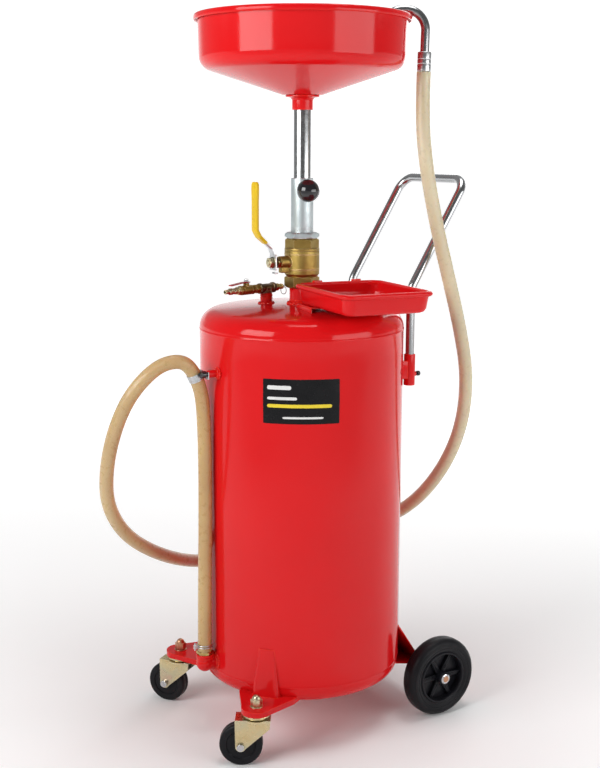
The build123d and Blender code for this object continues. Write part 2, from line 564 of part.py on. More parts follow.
def tray(parts):
    low = TRAY_TOP - TRAY_DEPTH
    rim = rounded_plate(TRAY_L, TRAY_W, 20, TRAY_TOP - 9.5, TRAY_TOP)
    rim -= rounded_plate(TRAY_L - 4, TRAY_W - 4, 18, TRAY_TOP - 12, TRAY_TOP - 2)
    wide = Pos(0, 0, TRAY_TOP) * RectangleRounded(TRAY_L - 18, TRAY_W - 18, 16)
    narrow = Pos(0, 0, low) * RectangleRounded(TRAY_L - 26, TRAY_W - 26, 14)
    outside = fillet(loft([narrow.face(), wide.face()]).faces().sort_by(Axis.Z)[0].edges(), 10)
    wide_in = Pos(0, 0, TRAY_TOP + 0.1) * RectangleRounded(TRAY_L - 22, TRAY_W - 22, 14)
    narrow_in = Pos(0, 0, low + 2) * RectangleRounded(TRAY_L - 30, TRAY_W - 30, 12)
    hollow = fillet(loft([narrow_in.face(), wide_in.face()]).faces().sort_by(Axis.Z)[0].edges(), 8)
    pan = (outside + rim) - hollow
    for s in (-1, 1):
        pan += Pos(-TRAY_L / 2 + 1, s * 46, TRAY_TOP + 1) * Box(2, 24, 10)
        pan -= Pos(TRAY_POST_X, s * TRAY_BOLT_Y, low) * Cylinder(3.05, 10)
    parts["tool_tray"] = tray_place() * pan
    bolt = tube_z(3.0, low - 7.5, low + 4) + tube_z(6.5, low + 2, low + 5)
    bolt += hex_bar(10, (0, 0, low - 4), (0, 0, low - 7))
    bolts = [Pos(TRAY_POST_X, s * TRAY_BOLT_Y, 0) * bolt for s in (-1, 1)]
    parts["tray_bolts"] = tray_place() * (bolts[0] + bolts[1])


# ---- assembly -----------------------------------------------------------------------------------
CORD_NODES = ["drain_hose", "nozzle_hook", "nozzle_ferrule"]


def build():
    """Every node by name, moved so that the origin is under the middle of the object without its hose."""
    parts = {}
    envelope = tank_envelope()
    tank(parts)
    main_valve(parts)
    mast(parts)
    bowl(parts)
    air_line(parts)
    outlet(parts)
    hose_clip(parts)
    hose(parts)
    nozzle(parts)
    caster_brackets(parts, envelope)
    caster_mounts(parts)
    for side, s in (("right", 1), ("left", -1)):
        caster(parts, side, s * CASTER_X, CASTER_Y, CASTER_AIM[side])
        rear_wheel(parts, side, s * REAR_X)
    rear_axle(parts, envelope)
    handle(parts, envelope)
    tray(parts)
    boxes = [p.bounding_box() for n, p in parts.items() if n not in CORD_NODES]
    low_x, high_x = min(b.min.X for b in boxes), max(b.max.X for b in boxes)
    low_y, high_y = min(b.min.Y for b in boxes), max(b.max.Y for b in boxes)
    low_z = min(b.min.Z for b in boxes)
    shift = (-(low_x + high_x) / 2, -(low_y + high_y) / 2, -low_z)
    print("tank axis at", [round(v, 3) for v in shift])
    return {name: Pos(*shift) * part for name, part in parts.items()}, shift


PARTS, SHIFT = build()

os.makedirs("parts", exist_ok=True)
for name, part in PARTS.items():
    export_step(part, f"parts/{name}.step")
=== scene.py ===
"""Visual model of the wheeled oil drain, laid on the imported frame. Shapes are in millimetres about its axis."""

import json
from math import asin, copysign, cos, hypot, pi, radians, sin, sqrt, tan

import bmesh
import bpy
from mathutils import Matrix, Vector
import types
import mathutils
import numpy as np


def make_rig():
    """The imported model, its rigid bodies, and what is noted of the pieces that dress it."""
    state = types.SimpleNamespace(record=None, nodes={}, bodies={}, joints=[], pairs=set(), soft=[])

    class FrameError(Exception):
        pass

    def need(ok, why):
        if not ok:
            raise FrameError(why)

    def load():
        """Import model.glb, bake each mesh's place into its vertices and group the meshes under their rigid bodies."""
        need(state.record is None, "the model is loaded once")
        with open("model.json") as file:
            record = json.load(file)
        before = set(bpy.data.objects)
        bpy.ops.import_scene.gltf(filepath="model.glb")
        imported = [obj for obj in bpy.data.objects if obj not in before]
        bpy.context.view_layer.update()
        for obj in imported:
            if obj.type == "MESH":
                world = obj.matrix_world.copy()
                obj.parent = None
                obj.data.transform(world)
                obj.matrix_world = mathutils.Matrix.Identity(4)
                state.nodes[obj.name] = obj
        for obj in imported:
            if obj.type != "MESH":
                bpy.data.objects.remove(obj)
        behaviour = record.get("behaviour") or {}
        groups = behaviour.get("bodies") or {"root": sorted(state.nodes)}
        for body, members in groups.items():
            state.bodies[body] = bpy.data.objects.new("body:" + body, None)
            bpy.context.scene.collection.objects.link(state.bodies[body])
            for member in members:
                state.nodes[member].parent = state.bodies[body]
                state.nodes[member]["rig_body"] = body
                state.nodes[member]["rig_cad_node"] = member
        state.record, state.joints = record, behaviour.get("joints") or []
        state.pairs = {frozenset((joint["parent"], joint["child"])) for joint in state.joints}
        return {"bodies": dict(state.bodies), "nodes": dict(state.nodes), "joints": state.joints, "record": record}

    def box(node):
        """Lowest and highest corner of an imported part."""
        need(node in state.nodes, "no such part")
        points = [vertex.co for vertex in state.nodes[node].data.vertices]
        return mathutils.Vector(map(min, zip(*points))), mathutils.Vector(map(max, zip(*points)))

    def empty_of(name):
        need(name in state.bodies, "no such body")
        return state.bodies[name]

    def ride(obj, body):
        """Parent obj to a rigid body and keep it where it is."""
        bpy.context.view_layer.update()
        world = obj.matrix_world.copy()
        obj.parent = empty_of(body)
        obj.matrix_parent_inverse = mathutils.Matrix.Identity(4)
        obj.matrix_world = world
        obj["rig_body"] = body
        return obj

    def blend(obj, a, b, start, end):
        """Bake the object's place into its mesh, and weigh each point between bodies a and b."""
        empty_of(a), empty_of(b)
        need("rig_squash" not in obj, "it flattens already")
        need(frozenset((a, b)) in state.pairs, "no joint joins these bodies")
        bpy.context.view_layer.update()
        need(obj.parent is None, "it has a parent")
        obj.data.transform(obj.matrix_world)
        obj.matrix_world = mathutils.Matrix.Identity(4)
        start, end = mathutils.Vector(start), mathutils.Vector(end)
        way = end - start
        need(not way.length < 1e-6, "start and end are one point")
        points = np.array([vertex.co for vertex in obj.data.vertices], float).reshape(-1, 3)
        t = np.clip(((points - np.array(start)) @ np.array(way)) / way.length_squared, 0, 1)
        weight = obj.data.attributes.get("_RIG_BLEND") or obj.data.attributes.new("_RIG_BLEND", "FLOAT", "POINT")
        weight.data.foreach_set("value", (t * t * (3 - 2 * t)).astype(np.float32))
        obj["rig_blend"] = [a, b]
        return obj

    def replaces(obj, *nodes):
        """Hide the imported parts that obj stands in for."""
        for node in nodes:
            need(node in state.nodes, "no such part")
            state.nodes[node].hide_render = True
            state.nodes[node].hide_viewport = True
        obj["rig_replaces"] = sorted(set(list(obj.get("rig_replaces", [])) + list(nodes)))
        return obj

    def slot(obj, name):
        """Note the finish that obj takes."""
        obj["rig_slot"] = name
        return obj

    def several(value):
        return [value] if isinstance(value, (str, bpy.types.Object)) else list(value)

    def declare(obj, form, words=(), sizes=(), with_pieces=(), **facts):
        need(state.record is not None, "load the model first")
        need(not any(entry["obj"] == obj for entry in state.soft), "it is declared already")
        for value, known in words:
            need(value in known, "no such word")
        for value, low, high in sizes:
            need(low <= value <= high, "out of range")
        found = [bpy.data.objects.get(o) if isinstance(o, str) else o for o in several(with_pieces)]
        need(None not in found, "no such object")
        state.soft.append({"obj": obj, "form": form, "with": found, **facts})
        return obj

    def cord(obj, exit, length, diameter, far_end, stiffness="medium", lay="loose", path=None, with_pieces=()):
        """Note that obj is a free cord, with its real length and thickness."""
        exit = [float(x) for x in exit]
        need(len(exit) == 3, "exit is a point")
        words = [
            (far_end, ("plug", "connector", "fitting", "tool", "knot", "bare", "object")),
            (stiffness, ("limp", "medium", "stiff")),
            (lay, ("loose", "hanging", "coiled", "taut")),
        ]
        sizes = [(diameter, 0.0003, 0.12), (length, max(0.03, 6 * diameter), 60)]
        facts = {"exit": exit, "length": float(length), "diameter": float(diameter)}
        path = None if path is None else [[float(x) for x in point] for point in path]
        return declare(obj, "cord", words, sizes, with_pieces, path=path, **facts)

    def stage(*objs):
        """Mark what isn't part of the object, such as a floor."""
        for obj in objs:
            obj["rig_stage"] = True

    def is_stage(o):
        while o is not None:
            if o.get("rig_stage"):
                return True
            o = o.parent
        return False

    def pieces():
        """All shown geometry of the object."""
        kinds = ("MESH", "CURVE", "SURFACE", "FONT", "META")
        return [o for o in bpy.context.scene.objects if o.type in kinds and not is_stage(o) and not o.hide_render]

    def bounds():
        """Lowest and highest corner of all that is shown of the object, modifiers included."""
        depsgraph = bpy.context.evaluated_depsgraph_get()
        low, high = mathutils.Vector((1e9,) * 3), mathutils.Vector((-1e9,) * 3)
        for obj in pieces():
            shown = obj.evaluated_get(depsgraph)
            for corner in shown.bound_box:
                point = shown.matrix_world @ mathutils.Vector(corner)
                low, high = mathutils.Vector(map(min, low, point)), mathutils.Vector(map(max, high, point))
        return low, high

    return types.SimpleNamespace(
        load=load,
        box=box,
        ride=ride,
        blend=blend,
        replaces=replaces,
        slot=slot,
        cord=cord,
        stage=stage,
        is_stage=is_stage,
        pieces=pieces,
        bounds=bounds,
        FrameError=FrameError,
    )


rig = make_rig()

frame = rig.load()
cad_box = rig.bounds()

FOOT_LO, FOOT_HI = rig.box("tank_bottom_head")
AXIS = Vector(((FOOT_LO.x + FOOT_HI.x) / 2, (FOOT_LO.y + FOOT_HI.y) / 2, 0))
MM = 0.001
TO_ROW = Matrix.Translation(AXIS) @ Matrix.Scale(MM, 4)
UP = Vector((0, 0, 1))

# Main sizes, the same as the CAD part's, in millimetres.
TANK_R = 185
SHELL_LOW, SHELL_HIGH = 117, 744
TOP_KNUCKLE, LOW_KNUCKLE, CROWN_R = 32, 25, 1500
LOCK_DIR, LOCK_Z = -19, 987
LINE_X, LINE_Y, LINE_Z, LINE_TURN = -45, -48, 810, 14
HOSE_R = 12.5
HOOK_DIR, HOOK_RHO, HOOK_Z, HOOK_BEND, HOOK_R = 58, 178, 1259.8, 37, 8
FERRULE_L = 34
TRAY_X, TRAY_Y, TRAY_TURN = 158, 24, -8.5
REAR_X, REAR_Y, REAR_R = 152, 214.5, 75
CASTER_X, CASTER_Y, CASTER_R, CASTER_TRAIL = 147.4, -181.4, 38, 27
HANDLE_X, HANDLE_Y, CLAMP_Z = 95, 174.5, 652
ELBOW_Y, ELBOW_Z = -205, 138
STEM_Z, OUTER_R = 860, 20

# The camera, in metres from the axis at floor level, and the way it looks.
CAMERA_AT, CAMERA_AIM, CAMERA_ROLL, LENS = (1.9029, -1.1875, 1.0589), (-0.83421, 0.51921, -0.18578), 0.214, 58.34
TO_FRONT, TO_BACK = (0.848, -0.530, 0), (-0.848, 0.530, 0)

# The hose's route as in the CAD part: up the tank's front, over the clip, a loose loop, up the rear to the rim.
HOSE_ROUTE = [
    (0, -205, 162), (0, -204, 255), (0, -201, 395), (0, -200, 520), (0, -202, 600),
    (0, -207, 646), (0, -225, 685), (-4, -247, 700), (-14, -286, 690), (-30, -328, 643),
    (-48, -351, 580), (-67, -360, 508), (-87, -352, 436), (-110, -310, 368), (-136, -240, 315),
    (-178, -152, 270), (-226, -62, 243), (-240, 35, 236), (-212, 130, 250), (-150, 200, 280),
    (-75, 243, 318), (5, 262, 372), (62, 286, 450), (98, 300, 540), (118, 293, 640),
    (129, 262, 740), (133, 227, 840), (130, 199, 935), (123, 181, 1030), (112, 178, 1115),
    (112.3, 179.8, 1192),
]


# ---- materials ------------------------------------------------------------------------------------
def material(name):
    m = bpy.data.materials.new(name)
    m.use_nodes = True
    tree = m.node_tree
    return m, tree, tree.nodes["Principled BSDF"]


def noise(tree, scale, detail=4.0, stretch=(1, 1, 1), kind="Object"):
    coord = tree.nodes.new("ShaderNodeTexCoord")
    mapping = tree.nodes.new("ShaderNodeMapping")
    mapping.inputs["Scale"].default_value = stretch
    tex = tree.nodes.new("ShaderNodeTexNoise")
    tex.inputs["Scale"].default_value = scale
    tex.inputs["Detail"].default_value = detail
    tree.links.new(coord.outputs[kind], mapping.inputs["Vector"])
    tree.links.new(mapping.outputs["Vector"], tex.inputs["Vector"])
    return tex.outputs["Fac"]


def remap(tree, value, low, high, from_low=0.3, from_high=0.7):
    node = tree.nodes.new("ShaderNodeMapRange")
    node.inputs["From Min"].default_value = from_low
    node.inputs["From Max"].default_value = from_high
    node.inputs["To Min"].default_value = low
    node.inputs["To Max"].default_value = high
    tree.links.new(value, node.inputs["Value"])
    return node.outputs["Result"]


def mix(tree, factor, a, b):
    node = tree.nodes.new("ShaderNodeMix")
    node.data_type = "RGBA"
    for value, socket in ((factor, node.inputs[0]), (a, node.inputs[6]), (b, node.inputs[7])):
        if isinstance(value, bpy.types.NodeSocket):
            tree.links.new(value, socket)
        elif isinstance(value, tuple):
            socket.default_value = (*value, 1)
        else:
            socket.default_value = value
    return node.outputs[2]


def math_node(tree, operation, first, second):
    node = tree.nodes.new("ShaderNodeMath")
    node.operation = operation
    tree.links.new(first, node.inputs[0])
    tree.links.new(second, node.inputs[1])
    return node.outputs[0]


def vector_node(tree, operation, vector, other=None):
    node = tree.nodes.new("ShaderNodeVectorMath")
    node.operation = operation
    tree.links.new(vector, node.inputs[0])
    if isinstance(other, bpy.types.NodeSocket):
        tree.links.new(other, node.inputs[1])
    elif other:
        node.inputs[1].default_value = other
    return node.outputs["Value"]


def bump(tree, shader, height, distance, strength=1.0):
    node = tree.nodes.new("ShaderNodeBump")
    node.inputs["Strength"].default_value = strength
    node.inputs["Distance"].default_value = distance
    tree.links.new(height, node.inputs["Height"])
    tree.links.new(node.outputs["Normal"], shader.inputs["Normal"])


def edges(tree, radius, low=0.003, high=0.06):
    """1 on corners rounder than the surface beside them, where plating wears; on the red enamel it carries a painted
    highlight, the bright backdrop's reflection that the edges catch.
    """
    soft = tree.nodes.new("ShaderNodeBevel")
    soft.samples = 4
    soft.inputs["Radius"].default_value = radius
    geometry = tree.nodes.new("ShaderNodeNewGeometry")
    agree = vector_node(tree, "DOT_PRODUCT", soft.outputs["Normal"], geometry.outputs["Normal"])
    return remap(tree, agree, 1.0, 0.0, 1 - high, 1 - low)


def surface(name, light, dark, rough, metal=0.0, coat=0.0, patch=7.0, grain=90.0, relief=0.0, relief_scale=400.0,
            stretch=(1, 1, 1), edge_wear_and_sheen=None, edge_wear_and_sheen_radius=0.0012, gloss=0.5, coat_rough=0.04):
    """The common build: colour drifting between two tones, roughness from a finer noise, relief, and lighter edges:
    worn plating, and on the red enamel a painted highlight.
    """
    m, tree, shader = material(name)
    colour = mix(tree, remap(tree, noise(tree, patch, 5.0), 0.0, 1.0), light, dark)
    if edge_wear_and_sheen is not None:
        colour = mix(tree, edges(tree, edge_wear_and_sheen_radius), colour, edge_wear_and_sheen)
    tree.links.new(colour, shader.inputs["Base Color"])
    tree.links.new(remap(tree, noise(tree, grain, 3.0, stretch), *rough), shader.inputs["Roughness"])
    shader.inputs["Metallic"].default_value = metal
    shader.inputs["Specular IOR Level"].default_value = gloss
    shader.inputs["Coat Weight"].default_value = coat
    shader.inputs["Coat Roughness"].default_value = coat_rough
    if relief:
        bump(tree, shader, noise(tree, relief_scale, 2.0, stretch), relief)
    return m


# The enamel's lighter orange-red edges are a painted highlight: the bright backdrop's reflection at grazing angles,
# put into the colour through the edge mask.
RED = surface("red_enamel", (0.68, 0.0080, 0.0100), (0.62, 0.0062, 0.0082), (0.10, 0.15), coat=0.04, patch=3, grain=14,
              gloss=0.22, relief=0.00006, relief_scale=120, edge_wear_and_sheen=(0.82, 0.030, 0.010), edge_wear_and_sheen_radius=0.0016)
BRASS = surface("cast_brass", (0.40, 0.285, 0.080), (0.31, 0.210, 0.055), (0.34, 0.52), metal=1.0, patch=30,
                relief=0.0004, relief_scale=900, edge_wear_and_sheen=(0.80, 0.62, 0.30))
BRASS_TURNED = surface("turned_brass", (0.54, 0.38, 0.14), (0.40, 0.26, 0.09), (0.20, 0.34), metal=1.0, patch=40,
                       edge_wear_and_sheen=(0.85, 0.68, 0.36))
DARK_PLATED = surface("dark_plating", (0.22, 0.15, 0.09), (0.08, 0.06, 0.05), (0.28, 0.45), metal=1.0, patch=45,
                      edge_wear_and_sheen=(0.55, 0.42, 0.25))
GALVANISED = surface("galvanised_steel", (0.60, 0.67, 0.68), (0.51, 0.58, 0.60), (0.44, 0.56), metal=1.0, patch=34,
                     grain=120, relief=0.00010, relief_scale=240, edge_wear_and_sheen=(0.72, 0.75, 0.76))
CHROME = surface("chrome", (0.50, 0.51, 0.52), (0.42, 0.43, 0.44), (0.18, 0.26), metal=1.0, patch=12, grain=140)
ZINC = surface("bright_zinc", (0.58, 0.59, 0.60), (0.48, 0.49, 0.50), (0.22, 0.36), metal=1.0, patch=40,
               edge_wear_and_sheen=(0.85, 0.86, 0.87))
BLACK_GLOSS = surface("black_phenolic", (0.010, 0.010, 0.012), (0.016, 0.016, 0.019), (0.10, 0.18), coat=0.4,
                      patch=20, grain=120)
BLACK_MOULDED = surface("black_moulded", (0.007, 0.007, 0.010), (0.012, 0.012, 0.015), (0.28, 0.40), patch=20,
                        gloss=0.22, relief=0.0002, relief_scale=700)
RUBBER = surface("solid_rubber", (0.006, 0.006, 0.008), (0.011, 0.011, 0.013), (0.34, 0.48), patch=14, gloss=0.18,
                 relief=0.0003, relief_scale=500)
VINYL = surface("yellow_vinyl", (0.76, 0.52, 0.012), (0.68, 0.45, 0.010), (0.24, 0.36), coat=0.0, gloss=0.2, patch=16,
                relief=0.0002, relief_scale=260, edge_wear_and_sheen=(0.88, 0.64, 0.05), edge_wear_and_sheen_radius=0.002)
SEAL = surface("white_seal", (0.78, 0.77, 0.73), (0.70, 0.69, 0.64), (0.35, 0.50), patch=30)
COPPER = surface("coppery_steel", (0.62, 0.34, 0.20), (0.48, 0.25, 0.15), (0.30, 0.45), metal=1.0, patch=60,
                 edge_wear_and_sheen=(0.80, 0.52, 0.34))
RED_VINYL = surface("red_vinyl", (0.46, 0.010, 0.012), (0.38, 0.008, 0.010), (0.28, 0.40), coat=0.2, patch=30)
LABEL = surface("label_film", (0.004, 0.004, 0.005), (0.007, 0.007, 0.008), (0.22, 0.30), gloss=0.22, patch=25)
PRINT_WHITE = surface("print_white", (0.75, 0.75, 0.74), (0.68, 0.68, 0.67), (0.2, 0.3), patch=60)
PRINT_YELLOW = surface("print_yellow", (0.80, 0.62, 0.03), (0.74, 0.56, 0.03), (0.2, 0.3), patch=60)


def yellow_zinc():
    """Passivated zinc: straw yellow with faint green and pink drifts."""
    m, tree, shader = material("yellow_zinc")
    ramp = tree.nodes.new("ShaderNodeValToRGB")
    stops = [(0.28, (0.60, 0.46, 0.22)), (0.45, (0.66, 0.56, 0.32)),
             (0.58, (0.58, 0.54, 0.36)), (0.72, (0.62, 0.48, 0.34))]
    for element, (place, colour) in zip(ramp.color_ramp.elements, (stops[0], stops[-1])):
        element.position, element.color = place, (*colour, 1)
    for place, colour in stops[1:-1]:
        ramp.color_ramp.elements.new(place).color = (*colour, 1)
    tree.links.new(noise(tree, 24, 2.0), ramp.inputs["Fac"])
    colour = mix(tree, edges(tree, 0.0009), ramp.outputs["Color"], (0.86, 0.80, 0.62))
    tree.links.new(colour, shader.inputs["Base Color"])
    tree.links.new(remap(tree, noise(tree, 160, 3.0), 0.22, 0.40), shader.inputs["Roughness"])
    shader.inputs["Metallic"].default_value = 1.0
    return m


def clear_hose():
    """Stained clear vinyl over a fine braid: light soaks in, so the wall glows and its edges go amber."""
    m, tree, shader = material("clear_hose")
    uv = tree.nodes.new("ShaderNodeTexCoord")
    weave = []
    for lean in (0.6, -0.6):
        turn = tree.nodes.new("ShaderNodeMapping")
        turn.inputs["Rotation"].default_value = (0, 0, lean)
        wave = tree.nodes.new("ShaderNodeTexWave")
        wave.inputs["Scale"].default_value = 130
        wave.inputs["Distortion"].default_value = 0.4
        tree.links.new(uv.outputs["UV"], turn.inputs["Vector"])
        tree.links.new(turn.outputs["Vector"], wave.inputs["Vector"])
        weave.append(wave.outputs["Fac"])
    braid = math_node(tree, "MAXIMUM", *weave)
    run = tree.nodes.new("ShaderNodeSeparateXYZ")
    tree.links.new(uv.outputs["UV"], run.inputs[0])
    clean = remap(tree, run.outputs["Y"], 0.0, 1.0, 6.0, 26.0)
    stain = remap(tree, noise(tree, 9, 4.0), 0.0, 1.0)
    oily = mix(tree, stain, (0.54, 0.35, 0.13), (0.45, 0.27, 0.09))
    fresh = mix(tree, stain, (0.66, 0.58, 0.40), (0.58, 0.49, 0.32))
    tone = mix(tree, clean, oily, fresh)
    colour = mix(tree, remap(tree, braid, 0.0, 0.22, 0.60, 1.0), tone, (0.76, 0.68, 0.50))
    tree.links.new(colour, shader.inputs["Base Color"])
    tree.links.new(remap(tree, noise(tree, 120, 3.0), 0.24, 0.38), shader.inputs["Roughness"])
    shader.inputs["Subsurface Weight"].default_value = 0.55
    shader.inputs["Subsurface Radius"].default_value = (1.0, 0.62, 0.30)
    shader.inputs["Subsurface Scale"].default_value = 0.008
    shader.inputs["Coat Weight"].default_value = 0.25
    shader.inputs["Coat Roughness"].default_value = 0.12
    bump(tree, shader, braid, 0.00015, 0.5)
    return m


YELLOW_ZINC = yellow_zinc()
CLEAR_HOSE = clear_hose()


# ---- shapes ---------------------------------------------------------------------------------------
def turned(r, z, steps):
    """Points of a circle of radius r about Z at height z."""
    return [Vector((r * cos(2 * pi * k / steps), r * sin(2 * pi * k / steps), z)) for k in range(steps)]


def arc_points(r, z, radius, start, stop, step):
    """(r, z) points of an arc about that centre, from start to stop degrees in steps."""
    return [(r + radius * cos(radians(a)), z + radius * sin(radians(a))) for a in range(start, stop, step)]


def spot(x, y, z):
    """A placing at that point, upright."""
    return Matrix.Translation((x, y, z))


def aim(origin, direction, twist=0.0):
    """A placing whose own Z runs along direction from origin."""
    turn = Vector(direction).to_track_quat("Z", "Y").to_matrix().to_4x4()
    return Matrix.Translation(origin) @ turn @ Matrix.Rotation(radians(twist), 4, "Z")


def polar(rho, azimuth, z):
    return Vector((rho * cos(radians(azimuth)), rho * sin(radians(azimuth)), z))


def soften(points, radius, closed=False, arc=4):
    """The same polygon with every corner that isn't nearly straight rounded off."""
    points = [Vector(p) for p in points]
    count = len(points)
    out = []
    for i, p in enumerate(points):
        r = radius[i] if isinstance(radius, (list, tuple)) else radius
        if not closed and i in (0, count - 1) or r <= 0:
            out.append(p)
            continue
        a, b = points[i - 1] - p, points[(i + 1) % count] - p
        if a.length < 1e-6 or b.length < 1e-6:
            out.append(p)
            continue
        half = a.angle(b) / 2
        if half > radians(88):
            out.append(p)
            continue
        cut = min(r / tan(half), 0.48 * a.length, 0.48 * b.length)
        start, end = p + a.normalized() * cut, p + b.normalized() * cut
        r = cut * tan(half)
        centre = p + (a.normalized() + b.normalized()).normalized() * (r / sin(half))
        for k in range(arc + 1):
            t = k / arc
            spoke = (start - centre).lerp(end - centre, t)
            out.append(centre + spoke.normalized() * r)
    return out


def rounded_rect(width, depth, r, arc=6):
    corners = [(width / 2, depth / 2), (-width / 2, depth / 2), (-width / 2, -depth / 2), (width / 2, -depth / 2)]
    return soften([Vector(c) for c in corners], r, closed=True, arc=arc)


class Shape:
    """Collects surfaces in one mesh and hands it over as a piece riding on a CAD body."""

    def __init__(self):
        self.bm = bmesh.new()
        self.uv = self.bm.loops.layers.uv.new("UVMap")

    def rings(self, rings, loop=False, cap=(True, True), uv_length=None):
        """Joins rings of points, one after another; cap closes the first and the last, loop joins them instead."""
        rows = [[self.bm.verts.new(p) for p in ring] for ring in rings]
        count = len(rows[0])
        for i in range(len(rows) if loop else len(rows) - 1):
            a, b = rows[i], rows[(i + 1) % len(rows)]
            for k in range(count):
                n = (k + 1) % count
                face = self.bm.faces.new((a[k], a[n], b[n], b[k]))
                if uv_length:
                    u0, u1 = k / count, (k + 1) / count
                    v0, v1 = uv_length[i], uv_length[i + 1]
                    for corner, value in zip(face.loops, ((u0, v0), (u1, v0), (u1, v1), (u0, v1))):
                        corner[self.uv].uv = value
        if cap[0] and not loop:
            self.bm.faces.new(list(reversed(rows[0])))
        if cap[1] and not loop:
            self.bm.faces.new(rows[-1])
        return self

    def lathe(self, profile, place=Matrix(), steps=96, loop=False):
        """profile is (r, z) points turned about the placing's Z; loop joins its last point to its first."""
        rows = []
        for r, z in profile:
            rows.append([place @ p for p in turned(max(r, 0.001), z, steps)])
        return self.rings(rows, loop=loop)

    def bar(self, z0, z1, r, place=Matrix(), edge=0.6, steps=48):
        edge = min(edge, 0.45 * abs(z1 - z0), 0.45 * r)
        return self.lathe(soften([(0, z0), (r, z0), (r, z1), (0, z1)], [0, edge, edge, 0], arc=3), place, steps)

    def ring(self, z0, z1, r_in, r_out, place=Matrix(), edge=0.5, steps=64):
        edge = min(edge, 0.45 * abs(z1 - z0), 0.45 * (r_out - r_in))
        profile = soften([(r_in, z0), (r_out, z0), (r_out, z1), (r_in, z1)], edge, closed=True, arc=3)
        return self.lathe(profile, place, steps, loop=True)

    def hexagon(self, across, z0, z1, place=Matrix(), bore=0.0):
        """A hex bar with the curved chamfers that turning leaves on its corners."""
        apothem, steps = across / 2, 72
        depth = min(0.10 * across, 0.4 * abs(z1 - z0))
        side = 1 if z1 > z0 else -1
        shares = (0.0, 0.25, 0.5, 0.75, 1.0)
        levels = [(s, z0 + side * depth * s) for s in shares] + [(s, z1 - side * depth * s) for s in shares[::-1]]
        rows = []
        for share, z in levels:
            limit = apothem * 0.98 + 1.73 * depth * share
            row = []
            for k in range(steps):
                t = 2 * pi * k / steps
                r = min(apothem / cos((t % (pi / 3)) - pi / 6), limit)
                row.append(place @ Vector((r * cos(t), r * sin(t), z)))
            rows.append(row)
        if bore:
            for z, grow in ((z1, 0.6), (z1 - side * 0.6, 0.0), (z0 + side * 0.6, 0.0), (z0, 0.6)):
                rows.append([place @ p for p in turned(bore + grow, z, steps)])
            return self.rings(rows, loop=True)
        return self.rings(rows)

    def ball(self, centre, r, steps=48, rows=24):
        profile = [(r * sin(pi * k / rows), -r * cos(pi * k / rows)) for k in range(rows + 1)]
        return self.lathe(profile, spot(*centre), steps)

    def prism(self, outline, z0, z1, place=Matrix(), edge=0.6, arc=3):
        """outline extruded from z0 to z1 with its rims rounded. outline runs anticlockwise."""
        outline = [Vector(p).to_2d() for p in outline]
        count = len(outline)
        inward = []
        for i, p in enumerate(outline):
            a, b = (p - outline[i - 1]).normalized(), (outline[(i + 1) % count] - p).normalized()
            na, nb = Vector((-a.y, a.x)), Vector((-b.y, b.x))
            miter = na + nb
            inward.append(miter / max(miter.length_squared / 2, 0.35))
        rows = []
        side = 1 if z1 > z0 else -1
        for end in (0, 1):
            for k in range(arc + 1):
                t = pi / 2 * (k / arc if end == 0 else 1 - k / arc)
                z = z0 + side * edge * (1 - cos(t)) if end == 0 else z1 - side * edge * (1 - cos(t))
                rows.append([place @ Vector((*(p + n * edge * (1 - sin(t))), z)) for p, n in zip(outline, inward)])
        return self.rings(rows)

    def tube(self, points, radius, sides=40, mouths=(0, 0), wall=1.5, uv=False):
        """A bar of that radius along points; a mouth is how deep that end is hollow."""
        points = [Vector(p) for p in points]
        tangents = []
        for i in range(len(points)):
            before, after = points[max(i - 1, 0)], points[min(i + 1, len(points) - 1)]
            tangents.append((after - before).normalized())
        normal = tangents[0].orthogonal().normalized()
        rings, lengths, run = [], [], 0.0
        frames = []
        for i, (p, t) in enumerate(zip(points, tangents)):
            if i:
                normal = (tangents[i - 1].rotation_difference(t) @ normal).normalized()
                run += (p - points[i - 1]).length
            frames.append((p, t, normal.copy(), t.cross(normal)))
            rings.append([p + q.x * normal + q.y * t.cross(normal) for q in turned(radius, 0, sides)])
            lengths.append(run)

        def hole(index, sign, depth):
            p, t, n, b = frames[index]
            out = []
            for into, grow in ((0, 0.4), (0.5, 0), (depth, 0)):
                c = p + t * sign * into
                out.append([c + q.x * n + q.y * b for q in turned(radius - wall + grow, 0, sides)])
            return out

        uv_length = [s / (2 * pi * radius) for s in lengths] if uv else None
        self.rings(rings, cap=(not mouths[0], not mouths[1]), uv_length=uv_length)
        if mouths[0]:
            self.rings([rings[0], *hole(0, 1, mouths[0])], cap=(False, True))
        if mouths[1]:
            self.rings([rings[-1], *hole(-1, -1, mouths[1])], cap=(False, True))
        return self

    def piece(self, name, finish, body, *nodes, sharp=32):
        """The finished mesh as a piece on that body, standing for those CAD nodes."""
        bmesh.ops.remove_doubles(self.bm, verts=self.bm.verts, dist=1e-4)
        bmesh.ops.recalc_face_normals(self.bm, faces=self.bm.faces)
        self.bm.transform(TO_ROW)
        mesh = bpy.data.meshes.new(name)
        self.bm.to_mesh(mesh)
        self.bm.free()
        return put(name, mesh, finish, body, nodes, sharp)


def put(name, mesh, finish, body, nodes, sharp, bevel=0.0):
    mesh.polygons.foreach_set("use_smooth", [True] * len(mesh.polygons))
    mesh.set_sharp_from_angle(angle=radians(sharp))
    obj = bpy.data.objects.new(name, mesh)
    bpy.context.scene.collection.objects.link(obj)
    mesh.materials.append(finish)
    if bevel:
        rim = obj.modifiers.new("rim", "BEVEL")
        rim.width, rim.segments, rim.limit_method, rim.angle_limit = bevel * MM, 2, "ANGLE", radians(40)
    if body:
        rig.ride(obj, body)
    if nodes:
        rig.replaces(obj, *nodes)
    return obj


